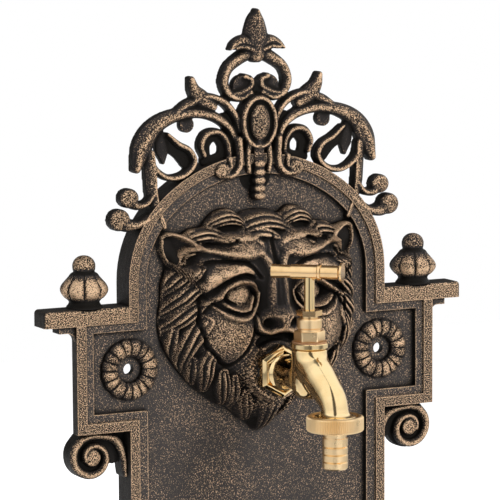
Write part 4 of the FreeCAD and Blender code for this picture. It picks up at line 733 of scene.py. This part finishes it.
turn = np.linspace(0, 2 * math.pi, 384, endpoint=False)
section = np.linspace(0, 1, 30)
around, across = np.meshgrid(turn, section)
for side, place_x in (("left", -SCREW_X), ("right", SCREW_X)):
    wander = 0.10 * np.sin(3 * around + place_x) + 0.07 * np.sin(7 * around)
    petal = (PETALS * around / (2 * math.pi) + wander) % 1.0
    line = np.abs(2 * petal - 1)
    lift = np.sin(math.pi * across) ** 0.72
    uneven = 1 + 0.05 * np.sin(5 * around + place_x) - 0.06 * np.abs(np.sin(8.5 * around))
    radius = RING_MIDDLE - RING_HALF * np.cos(math.pi * across)
    radius += 0.5 * line ** 4 * (1 - across) ** 2 - 0.9 * line ** 3 * across ** 2
    flutes = 0.22 * np.cos(4 * math.pi * petal) * np.sin(math.pi * across)
    rise = PETAL_RISE * lift * uneven * (1 - (0.16 + 0.30 * across) * line ** 4)
    rise = np.clip(rise + flutes, 0, PETAL_TOP)
    rings = np.stack([place_x + radius * np.cos(around), FIELD_Y - rise, radius * np.sin(around)], 2)
    rosette = woven("rosette_petals_" + side, rings, closed_ends=False)
    # Bronze on the petal tops; the lines between the petals and the foot of the ring all round are darkened
    # as painted shade.
    tone = (1.2 * lift - 0.28) * (1 - 0.95 * line ** 5) * (0.78 + 0.16 * np.sin(4 * around))
    write_values(rosette.data, "bronze_and_shade", np.clip(tone, 0, 1))
    rosette.data.materials.append(relief_iron)
    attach(rosette, "fountain")
    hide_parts("rosette_" + side)

# The finials are cast knobs on studs: a dark foot and waist, a bell of eight plump lobes with thin
# dark lines between them, and a plain round knob on top. The bronze brush caught the lobes. The foot,
# waist and lines are dark with painted shade, and the lobes are bronze on the side the light comes
# from and dark round the back: painted light and shade.
FINIAL_LOBES = 8
FINIAL_X = 111.0
FINIAL_Y = -9.0
SHELF_TOP_Z = 38.3
bell = smooth_path([(10.8, 0.0), (10.6, 0.9), (9.5, 2.2), (9.1, 3.6), (10.0, 4.9), (12.2, 6.6), (14.0, 9.0),
                    (14.5, 11.2), (13.5, 13.6), (11.5, 16.0), (9.5, 18.2), (8.1, 20.0), (6.4, 21.2),
                    (6.6, 22.6), (6.8, 24.2), (6.6, 26.2), (5.5, 28.4), (3.6, 30.0), (1.6, 30.7),
                    (0.05, 30.78)], 4)
turn = np.linspace(0, 2 * math.pi, 192, endpoint=False)
around, level = np.meshgrid(turn, np.arange(len(bell)))
reach, stand = bell[level, 0], bell[level, 1]
line = 1 - np.abs(2 * ((FINIAL_LOBES * around / (2 * math.pi)) % 1.0) - 1)
lobed = np.clip((stand - 4.2) / 3, 0, 1) * np.clip((20.6 - stand) / 5, 0, 1)
radius = reach * (1 - 0.13 * lobed * line ** 7) - 0.35 * lobed * line ** 2
knob = np.clip((stand - 21.6) / 2.4, 0, 1) * 0.62
tone = np.maximum(0.92 * lobed * (1 - 0.96 * line ** 8), knob)
foot = 0.12 * np.clip(1 - stand / 1.5, 0, 1)
# The right finial's upper half is a little darker: painted shade.
painted_shade_upper = np.clip((17 - stand) / 7, 0.78, 1)
for side, place_x, lit_from, shaded in (("left", -FINIAL_X, 110, 1.0),
                                            ("right", FINIAL_X, 96, painted_shade_upper)):
    rings = np.stack([place_x + radius * np.cos(around), FINIAL_Y + radius * np.sin(around),
                      SHELF_TOP_Z + stand], 2)
    finial = woven("finial_knob_" + side, rings, closed_ends=True)
    # More bronze towards the light and less round the back: painted light and shade.
    front = np.clip(1.3 * np.cos(around + math.radians(lit_from)) + 0.3, 0.1, 1)
    write_values(finial.data, "bronze_and_shade", np.clip(tone * front * shaded + foot, 0, 1))
    finial.data.materials.append(relief_iron)
    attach(finial, "fountain")
    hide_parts("finial_" + side)

# The volutes are scroll brackets under the wings: one ribbon rolls up round an eye and runs on to
# the pier, over a thinner web. They are cut flush with the wing's underside and the pier's side.
EYE_X = 107.5
EYE_Z = -51.5
PIER_SIDE_X = 86
WING_UNDER_Z = -36
VOLUTE_BACK = -0.05
COIL_STEPS = 12
strokes = bmesh.new()
coil = []
for k in range(COIL_STEPS + 1):
    share = k / COIL_STEPS
    angle = math.radians(60 - 432 * share)
    reach = 13.5 - 8.6 * share
    coil.append((EYE_X + reach * math.cos(angle), EYE_Z + reach * math.sin(angle), 5.0 - 1.8 * share))
tail = [coil[0], (106.5, -38.2, 5.0), (94, -41, 5.0), (88, -49.5, 5.0), (86.4, -63.5, 3.2)]
for ribbon in (coil, tail):
    scroll_bar(ribbon, shoulder=-10.4, ridge=-13.0, back=VOLUTE_BACK, both=False)
scroll_boss(EYE_X, EYE_Z, 5.2, 5.2, -13.0, back=VOLUTE_BACK, shoulder=-10.6, both=False)
scroll_boss(EYE_X, EYE_Z, 13.4, 13.4, -7.0, back=VOLUTE_BACK, shoulder=-6.4, both=False)
pier_web = [(93.7, -36, 15.4), (93.7, -46, 15.4), (92.4, -51, 12)]
wing_web = [(86, -38.5, 5), (97, -38.5, 5), (108, -38.5, 5)]
for web in (pier_web, wing_web):
    scroll_bar(web, shoulder=-6.4, ridge=-7.0, back=VOLUTE_BACK, both=False)
volute = poured("volute_scroll_right")
one_skin(volute, cell=0.0004, rounds=3)
work_on(volute)
bpy.ops.object.mode_set(mode="EDIT")
for point, way in (((PIER_SIDE_X * MM, 0, 0), (-1, 0, 0)), ((0, 0, WING_UNDER_Z * MM), (0, 0, 1))):
    bpy.ops.mesh.select_all(action="SELECT")
    bpy.ops.mesh.bisect(plane_co=point, plane_no=way, use_fill=True, clear_outer=True)
bpy.ops.object.mode_set(mode="OBJECT")
bpy.ops.object.shade_smooth()
ridges_and_shade = raised_share(volute.data, rounds=14, reach=0.0008, front=0.58, deep=-5.6, high=-12.0)
write_values(volute.data, "bronze_and_shade", ridges_and_shade)
volute.data.materials.append(relief_iron)
twin = placed("volute_scroll_left", volute.data.copy())
twin.data.transform(Matrix.Diagonal((-1, 1, 1, 1)))
twin.data.flip_normals()
for piece, node in ((volute, "volute_right"), (twin, "volute_left")):
    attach(piece, "fountain")
    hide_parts(node)

# The tap is hot-pressed brass, machined at its threads and seats and then polished bright. Its
# bonnet, union nut and hose tail are turned from bar and left satin, the handle and the gland nut are
# a little brighter, and the parts that are hidden or under the basin keep their plain tooled surface.
BRASS = (0.863, 0.650, 0.350, 1)
SATIN_BRASS = (0.98, 0.72, 0.41, 1)
BRIGHT_BRASS = (0.85, 0.585, 0.31, 1)


def brass(name, colour, roughness, tool_marks, wear):
    # Where the brass is handled it is a little duller and rougher.
    material, tree, shader = new_material(name)
    shader.inputs["Metallic"].default_value = 1.0
    marks = grain(tree, 55.0, 4.0)
    dull = (colour[0] * wear, colour[1] * wear * 0.97, colour[2] * wear * 0.9, 1)
    tree.links.new(blend(tree, ramp(tree, marks, 0.45, 0.7), colour, dull), shader.inputs["Base Color"])
    tree.links.new(ramp(tree, marks, 0.3, 0.7, roughness, roughness * 1.35), shader.inputs["Roughness"])
    tree.links.new(bump(tree, grain(tree, 900.0, 1.0), 0.25, tool_marks), shader.inputs["Normal"])
    return material


polished = brass("polished_brass", BRASS, roughness=0.07, tool_marks=0.00001, wear=0.93)
satin = brass("satin_brass", SATIN_BRASS, roughness=0.26, tool_marks=0.00004, wear=0.96)
bright = brass("bright_brass", BRIGHT_BRASS, roughness=0.15, tool_marks=0.00002, wear=0.9)
machined = brass("machined_brass", SATIN_BRASS, roughness=0.34, tool_marks=0.00006, wear=0.8)
dress(polished, "spindle")
dress(satin, "hose_tail")
dress(bright, "gland_nut", "tee_handle")
dress(machined, "inlet_locknut", "valve_jumper", "jumper_nut", "drain_strainer", "drain_locknut",
      "drain_washer")

# The tap's body is one hot pressing: inlet thread, six-sided collar with a hollowed front, neck,
# valve chamber and swan neck run into each other with soft fillets. Only its rim, collar and threads
# have been machined to crisp edges, and the whole is polished bright.
SPINDLE_DEPTH = 81.5
SPOUT_DEPTH = 112.5
COLLAR_DEPTH = 45.3
SPINDLE_PLACE = (0.0, -SPINDLE_DEPTH, 0.0)
SPOUT_PLACE = (0.0, -SPOUT_DEPTH, 0.0)
INLET_PLACE = (0.0, 0.0, MOUTH_Z)
UPRIGHT = Matrix.Identity(4)
FORWARD = Matrix.Rotation(math.radians(90), 4, "X")
NECK_R = 7.8
SPOUT_BORE_R = 4.2
BEND_R = 21.8
BEND_MIDDLE = (98.5, -18.9)
SPOUT_RUN = ((82.8, 6.6), (106.9, -7.8))
CHAMBER_R = 10.8
INLET_NECK_R = 8.7
FILLET = 4.6
FILLET_STEPS = 10
COLLAR_ACROSS = 27.5
COLLAR_THICK = 6.0
THREAD_PITCH = 1.81
THREAD_TURNS = 13
CRISP_ANGLE = 32


def turned(name, profile, place, stance, steps=96, closed=True):
    # A piece turned on the lathe: the profile gives radius and distance along the axis.
    shape = bpy.data.meshes.new(name)
    corners = [(r * MM, 0, h * MM) for r, h in profile]
    links = [(k, k + 1) for k in range(len(corners) - 1)]
    if closed:
        links.append((len(corners) - 1, 0))
    shape.from_pydata(corners, links, [])
    piece = placed(name, shape)
    apply_modifier(piece, "SCREW", axis="Z", steps=steps, render_steps=steps, use_merge_vertices=True,
                   merge_threshold=WELD, use_normal_calculate=True)
    closed_skin(piece, WELD)
    piece.data.transform(Matrix.Translation(Vector(place) * MM) @ stance)
    return piece


def joined(pieces, name):
    bpy.ops.object.select_all(action="DESELECT")
    for piece in pieces:
        piece.select_set(True)
    bpy.context.view_layer.objects.active = pieces[0]
    bpy.ops.object.join()
    whole = bpy.context.object
    whole.name = name
    return whole


def finish_smooth(piece, angle):
    work_on(piece)
    bpy.ops.object.shade_smooth_by_angle(angle=math.radians(angle))


chamber = turned("chamber", [(0, 15.4), (10.5, 15.4), (10.6, 6), (11.0, 0), (11.1, -4.5), (10.5, -8.6),
                             (8.9, -11.6), (6.2, -13.6), (3.2, -14.3), (0, -14.4)],
                 SPINDLE_PLACE, UPRIGHT, steps=72, closed=False)
neck = turned("neck", [(0, 50.6), (11.9, 50.6), (10.6, 51.4), (9.5, 53.2), (8.8, 56), (8.5, 60), (8.7, 74),
                       (0, 74)], INLET_PLACE, FORWARD, steps=72, closed=False)
foot = turned("foot", [(0, -16.0), (7.8, -16.0), (8.1, -17.6), (9.0, -18.7), (10.6, -19.3), (12.4, -19.5),
                       (12.4, -20.4), (0, -20.4)], SPOUT_PLACE, UPRIGHT, steps=72, closed=False)
# The swan neck tapers along its run, then bends straight down over the spout
bend_angles = np.radians(np.linspace(53, 0, 12))
bend_share = 1 + 0.13 * (bend_angles / bend_angles[0]) ** 1.5
centre_line = [SPOUT_RUN[0], (88.3, 3.1), (94.0, -0.5), (100.2, -4.5)]
for angle, share in zip(bend_angles, bend_share):
    reach = BEND_R - NECK_R * share
    centre_line.append((BEND_MIDDLE[0] + reach * math.cos(angle), BEND_MIDDLE[1] + reach * math.sin(angle)))
centre_line.append((SPOUT_DEPTH, -23.6))
swell_line = [1.36, 1.33, 1.28, 1.20] + list(bend_share) + [1.0]


def tube_along(name, radius, swells, end_z):
    path = bpy.data.curves.new(name, "CURVE")
    path.dimensions = "3D"
    path.bevel_depth = radius * MM
    path.bevel_resolution = 12
    path.use_fill_caps = True
    line = path.splines.new("POLY")
    line.points.add(len(centre_line) - 1)
    for point, (depth, z), share in zip(line.points, centre_line, swells):
        point.co = (0, -depth * MM, z * MM, 1)
        point.radius = share
    line.points[-1].co.z = end_z * MM
    tube = placed(name, path)
    work_on(tube)
    bpy.ops.object.convert(target="MESH")
    return tube


swan = tube_along("swan_neck", NECK_R, swell_line, -23.6)
waterway = tube_along("waterway", SPOUT_BORE_R, [1.0] * len(centre_line), -24.5)
casting = joined([chamber, neck, swan, foot], "tap_casting")
one_skin(casting, cell=0.00052, rounds=0)
# Fillets lie where the chamber meets the neck and the swan neck, within a few mm of both surfaces
spots = vertex_rows(casting.data) / MM
depth = -spots[:, 1]
round_gap = np.abs(np.hypot(spots[:, 0], depth - SPINDLE_DEPTH) - CHAMBER_R)
neck_gap = np.abs(np.hypot(spots[:, 0], spots[:, 2] - MOUTH_Z) - INLET_NECK_R) + np.maximum(depth - 76, 0)
run = np.array(SPOUT_RUN)
way = (run[1] - run[0]) / np.linalg.norm(run[1] - run[0])
off = (depth - run[0, 0]) * way[1] - (spots[:, 2] - run[0, 1]) * way[0]
spout_r = 10.6 - 0.08 * (depth - run[0, 0])
spout_gap = np.abs(np.hypot(spots[:, 0], off) - spout_r) + np.maximum(86 - depth, 0)
fillet = np.clip(1 - np.maximum(round_gap, np.minimum(neck_gap, spout_gap)) / FILLET, 0, 1)
fillet *= (spots[:, 2] < 15) & (depth > 60) & (depth < 104)
group = casting.vertex_groups.new(name="fillet")
for level in range(1, FILLET_STEPS + 1):
    chosen = np.flatnonzero(np.rint(fillet * FILLET_STEPS) == level)
    if len(chosen):
        group.add(chosen.tolist(), level / FILLET_STEPS, "REPLACE")
apply_modifier(casting, "SMOOTH", factor=0.7, iterations=130, vertex_group="fillet")
casting.vertex_groups.clear()
apply_modifier(casting, "SMOOTH", factor=0.5, iterations=10)
# Waterway: inlet bore, valve chamber with its raised seat, and the bore of the swan neck
bored = turned("bored", [(0, -2.0), (3.8, -2.0), (3.8, 2.5), (5.2, 2.5), (5.2, 2.0), (8.05, 2.0),
                         (8.05, 20.0), (0, 20.0)], SPINDLE_PLACE, UPRIGHT, steps=64, closed=False)
drilled = turned("drilled", [(0, 43.0), (4.5, 43.0), (4.5, 82.5), (0, 82.5)], INLET_PLACE, FORWARD,
                 steps=48, closed=False)
for cutter in (bored, drilled, waterway):
    apply_modifier(casting, "BOOLEAN", object=cutter, operation="DIFFERENCE")
    bpy.data.objects.remove(cutter)
work_on(casting)
bpy.ops.object.shade_smooth()
# Machined rim, collar, inlet thread with its bore, and the spout's thread
rim = turned("rim", [(7.96, 18.98), (10.7, 18.98), (11.1, 18.6), (11.1, 16.3), (10.75, 15.9), (10.2, 15.6),
                     (7.96, 15.5)], SPINDLE_PLACE, UPRIGHT)


def hexagon_bar(across_flats, thick):
    bpy.ops.object.select_all(action="DESELECT")
    bpy.ops.mesh.primitive_cylinder_add(vertices=6, radius=across_flats * MM / math.sqrt(3), depth=thick * MM)
    return bpy.context.object


def break_edges(piece, width):
    apply_modifier(piece, "BEVEL", width=width * MM, segments=3, limit_method="ANGLE",
                   angle_limit=math.radians(25))


collar = hexagon_bar(COLLAR_ACROSS, COLLAR_THICK)
bpy.ops.object.mode_set(mode="EDIT")
bpy.ops.mesh.select_all(action="DESELECT")
bpy.ops.object.mode_set(mode="OBJECT")
for face in collar.data.polygons:
    face.select = face.normal.z > 0.9
bpy.ops.object.mode_set(mode="EDIT")
bpy.ops.mesh.select_mode(type="FACE")
bpy.ops.mesh.inset(thickness=1.9 * MM, depth=0)
bpy.ops.transform.translate(value=(0, 0, 1.7 * MM))
bpy.ops.mesh.inset(thickness=0.5 * MM, depth=0)
bpy.ops.mesh.inset(thickness=2.2 * MM, depth=-1.6 * MM)
bpy.ops.object.mode_set(mode="OBJECT")
collar.data.transform(Matrix.Translation((0, -COLLAR_DEPTH * MM, MOUTH_Z * MM)) @ FORWARD)
break_edges(collar, 0.5)
thread = []
for k in range(THREAD_TURNS):
    root = 20.6 + THREAD_PITCH * k
    thread += [(9.6, root), (10.4, root + 0.6), (10.4, root + 1.0)]
inlet = turned("inlet", [(4.5, 20.0), (9.4, 20.0)] + thread + [(10.4, 44.0), (4.5, 44.0)], INLET_PLACE,
               FORWARD)
spout_end = turned("spout_end", [(SPOUT_BORE_R, -20.4), (11.9, -20.4), (11.9, -20.9), (13.1, -21.2),
                                 (13.1, -23.6), (12.7, -23.8), (SPOUT_BORE_R, -23.8)], SPOUT_PLACE, UPRIGHT)
crisp = joined([rim, collar, inlet, spout_end], "tap_machined")
finish_smooth(crisp, CRISP_ANGLE)
body = joined([casting, crisp], "tap_body_polished")
body.data.materials.clear()
body.data.materials.append(polished)
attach(body, "fountain")
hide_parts("tap_body")

# The bonnet is turned from hexagon bar: a barrel over the six sides, which a spanner holds. The side
# that faces the front has a shallow stamped rectangle, left bare.
BONNET_ACROSS = 16
BONNET_THICK = 6.35
BONNET_Z = 23.0
BONNET_TURN = 3
STAMPED_TURN = BONNET_TURN - 30
STAMP_SIZE = (7.4, 0.7, 4.2, 1)
barrel = turned("barrel", [(4.1, 11.2), (7.4, 11.2), (7.9, 11.7), (7.9, 18.8), (7.0, 19.2), (7.0, 25.8),
                           (6.6, 26.4), (6.6, 27.2), (7.35, 27.9), (7.35, 32.5), (6.7, 33.28), (5.2, 33.28),
                           (4.1, 32.9)], SPINDLE_PLACE, UPRIGHT)
finish_smooth(barrel, CRISP_ANGLE)
hexagon = hexagon_bar(BONNET_ACROSS, BONNET_THICK)
break_edges(hexagon, 0.4)
hexagon.data.transform(Matrix.Rotation(math.radians(BONNET_TURN), 4, "Z"))
bpy.ops.object.select_all(action="DESELECT")
bpy.ops.mesh.primitive_cube_add(size=MM)
stamp = bpy.context.object
stamped_side = Matrix.Rotation(math.radians(STAMPED_TURN), 4, "Z")
on_flat = Matrix.Translation((0, -BONNET_ACROSS / 2 * MM, 0))
stamp.data.transform(stamped_side @ on_flat @ Matrix.Diagonal(STAMP_SIZE))
apply_modifier(hexagon, "BOOLEAN", object=stamp, operation="DIFFERENCE")
bpy.data.objects.remove(stamp)
hexagon.data.transform(Matrix.Translation((0, -SPINDLE_DEPTH * MM, BONNET_Z * MM)))
finish_smooth(hexagon, CRISP_ANGLE)
bonnet = joined([barrel, hexagon], "tap_bonnet_hexagon")
bonnet.data.materials.clear()
bonnet.data.materials.append(satin)
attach(bonnet, "fountain")
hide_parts("tap_bonnet")

# The union nut is turned with a straight knurl all round for the fingers, and a plain lip below it
# that holds the hose tail's flange up against the spout.
NUT_R = 16.62
NUT_STEPS = 288
KNURL_STEPS = 3
KNURL_FROM_R = 15.9
KNURL_SHRINK = 0.975
KNURL_ANGLE = 25
nut = turned("union_nut_knurled", [(13.3, -19.6), (15.2, -19.42), (16.1, -19.8), (NUT_R, -20.5),
                                   (NUT_R, -24.0), (NUT_R, -27.3), (16.1, -28.0), (15.2, -28.38),
                                   (7.7, -28.38), (7.52, -28.1), (7.52, -26.7), (13.3, -26.7)],
             SPOUT_PLACE, UPRIGHT, steps=NUT_STEPS)
spots = vertex_rows(nut.data)
out_x = spots[:, 0]
out_y = spots[:, 1] + SPOUT_DEPTH * MM
step = np.rint(np.degrees(np.arctan2(out_y, out_x)) * NUT_STEPS / 360).astype(int)
cut = (np.hypot(out_x, out_y) > KNURL_FROM_R * MM) & (step % KNURL_STEPS == 0)
shrink = np.where(cut, KNURL_SHRINK, 1.0)
spots[:, 0] = out_x * shrink
spots[:, 1] = out_y * shrink - SPOUT_DEPTH * MM
nut.data.vertices.foreach_set("co", spots.ravel())
finish_smooth(nut, KNURL_ANGLE)
nut.data.materials.append(satin)
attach(nut, "union")
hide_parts("union_nut")

# The small parts are bought in: seals and washers of black rubber, a red fibre ring under the bonnet,
# and zinc-plated steel bolts, washers and nuts that hold the basin.
BLACK_RUBBER = (0.022, 0.022, 0.023, 1)
RED_FIBRE = (0.36, 0.19, 0.09, 1)
ZINC = (0.60, 0.61, 0.62, 1)
SHADED = 0.7


def plain(name, colour, metallic, roughness, scale):
    material, tree, shader = new_material(name)
    shader.inputs["Metallic"].default_value = metallic
    mottle = grain(tree, scale, 3.0)
    shaded = tuple(c * SHADED for c in colour[:3]) + (1,)
    tree.links.new(blend(tree, ramp(tree, mottle, 0.4, 0.7), colour, shaded), shader.inputs["Base Color"])
    tree.links.new(ramp(tree, mottle, 0.3, 0.7, *roughness), shader.inputs["Roughness"])
    tree.links.new(bump(tree, mottle, 0.3, 0.0001), shader.inputs["Normal"])
    return material


rubber = plain("seal_rubber", BLACK_RUBBER, metallic=0.0, roughness=(0.6, 0.8), scale=400.0)
red_fibre = plain("red_fibre", RED_FIBRE, metallic=0.0, roughness=(0.5, 0.7), scale=400.0)
zinc_steel = plain("zinc_steel", ZINC, metallic=1.0, roughness=(0.28, 0.45), scale=90.0)
dress(rubber, "valve_washer", "union_washer", "drain_gasket", "basin_bolt_seals", "gland_packing",
      "inlet_washer")
dress(red_fibre, "bonnet_seal")
dress(zinc_steel, "basin_bolts", "basin_bolt_washers", "basin_bolt_nuts")

# The fountain hangs over a pale paper floor. It is white to the lens, as in the photo, and still
# takes the fountain's shadow.
FLOOR_GLOW = 0.90
MIRRORED_FLOOR = 0.14
bpy.ops.object.select_all(action="DESELECT")
bpy.ops.mesh.primitive_plane_add(size=7.0, location=(0.0, 0.0, -0.60))
floor = bpy.context.object
floor.name = "floor"
paper, tree, shader = new_material("studio_floor")
shader.inputs["Base Color"].default_value = (0.86, 0.86, 0.86, 1)
shader.inputs["Roughness"].default_value = 0.9
shader.inputs["Specular IOR Level"].default_value = 0.1
shader.inputs["Emission Color"].default_value = (1, 1, 1, 1)
rays = tree.nodes.new("ShaderNodeLightPath")
mirrored = reckon(tree, "MULTIPLY", rays.outputs["Is Glossy Ray"], MIRRORED_FLOOR)
seen = reckon(tree, "ADD", rays.outputs["Is Camera Ray"], mirrored)
tree.links.new(ramp(tree, seen, 0.0, 1.0, 0.0, FLOOR_GLOW), shader.inputs["Emission Strength"])
floor.data.materials.append(paper)

# The surroundings are white to the lens. What the brass mirrors is a white room that is dim below,
# dim to one side and behind, and has a dark gap where the camera stands. The room is turned with the
# camera, whose three angles come first.
YAW = 0.471238898
PITCH = 0.124812798
ROLL = -0.00574042712
CAMERA_GAP = (0.13, 0.34)
DIM_BEHIND = (3.0, 2.4)
DIM_SIDE = (-1.85, -1.25)
DIM_BELOW = (-0.50, 0.0)
CEILING = (-0.1, 0.6)
DIM_LIGHT = 0.12
world = bpy.data.worlds.new("studio")
bpy.context.scene.world = world
world.use_nodes = True
tree = world.node_tree
sky = tree.nodes["Background"]
rays = tree.nodes.new("ShaderNodeLightPath")
place = tree.nodes.new("ShaderNodeTexCoord")


def share_along(way):
    part = tree.nodes.new("ShaderNodeVectorMath")
    part.operation = "DOT_PRODUCT"
    part.inputs[1].default_value = way
    tree.links.new(place.outputs["Generated"], part.inputs[0])
    return part.outputs["Value"]


# The bearing is 0 towards the camera; away is the same to both sides, and pi is straight behind
to_right = share_along((math.cos(YAW), -math.sin(YAW), 0))
to_camera = share_along((-math.sin(YAW), -math.cos(YAW), 0))
bearing = reckon(tree, "ARCTAN2", to_right, to_camera, clamp=False)
away = reckon(tree, "ABSOLUTE", bearing, clamp=False)
height = share_along((0, 0, 1))
room = reckon(tree, "MULTIPLY", ramp(tree, away, *CAMERA_GAP), ramp(tree, away, *DIM_BEHIND))
room = reckon(tree, "MULTIPLY", room, ramp(tree, bearing, *DIM_SIDE, 0.12, 1.0))
room = reckon(tree, "MULTIPLY", room, ramp(tree, height, *DIM_BELOW, 0.10, 1.0))
room = reckon(tree, "MULTIPLY_ADD", room, ramp(tree, height, *CEILING, 0.86, 1.15), 0.10, clamp=False)
glossy = reckon(tree, "MULTIPLY", rays.outputs["Is Glossy Ray"], room, clamp=False)
direct = reckon(tree, "ADD", rays.outputs["Is Camera Ray"], rays.outputs["Is Transmission Ray"])
light = reckon(tree, "MAXIMUM", reckon(tree, "ADD", direct, glossy, clamp=False), DIM_LIGHT, clamp=False)
tree.links.new(light, sky.inputs["Strength"])
sky.inputs["Color"].default_value = (1, 1, 1, 1)

# Soft studio lamps stand to the left, to the right, above and behind. The brass does not mirror them,
# since it shows the white room instead.
LION_NOSE = (0, 0, 0.02)
LION_BROW = (0, 0, 0.05)
FOUNTAIN_MIDDLE = (0, 0, -0.1)


def softbox(name, power, size, place, aim):
    data = bpy.data.lights.new(name, "AREA")
    data.shape = "RECTANGLE"
    data.size, data.size_y = size
    data.energy = power
    lamp = placed(name, data)
    lamp.location = place
    lamp.visible_glossy = False
    lamp.rotation_euler = (Vector(aim) - Vector(place)).to_track_quat("-Z", "Y").to_euler()


softbox("softbox_left", power=16.0, size=(0.8, 1.3), place=(-1.1, -2.1, 0.9), aim=LION_NOSE)
softbox("softbox_right", power=60.0, size=(0.8, 1.3), place=(0.7, -2.2, 1.1), aim=LION_NOSE)
softbox("softbox_top", power=9.0, size=(1.4, 0.7), place=(0.0, -0.7, 1.9), aim=LION_BROW)
softbox("softbox_back", power=60.0, size=(1.2, 1.2), place=(-0.8, 2.2, 0.7), aim=FOUNTAIN_MIDDLE)

# The camera stands where the photo was taken from, a little left of the fountain and above it. The
# lens is long, so the fountain shows nearly without perspective.
LENS_PIXELS = 3224.48508
PHOTO_PIXELS = 500
CAMERA_PLACE = (-0.87475, -1.72256, 0.30682)
camera = bpy.data.cameras.new("camera")
camera.sensor_width = 36.0
camera.lens = LENS_PIXELS / PHOTO_PIXELS * camera.sensor_width
camera.clip_end = 50.0
ahead = Vector((math.sin(YAW) * math.cos(PITCH), math.cos(YAW) * math.cos(PITCH), -math.sin(PITCH)))
right = Vector((math.cos(YAW), -math.sin(YAW), 0))
up = right.cross(ahead)
tilted_right = math.cos(ROLL) * right + math.sin(ROLL) * up
tilted_up = -math.sin(ROLL) * right + math.cos(ROLL) * up
stand = Matrix((tilted_right, tilted_up, -ahead)).transposed().to_4x4()
stand.translation = CAMERA_PLACE
viewer = placed("camera", camera)
viewer.matrix_world = stand
bpy.context.scene.camera = viewer
bpy.context.scene.view_settings.view_transform = "Standard"
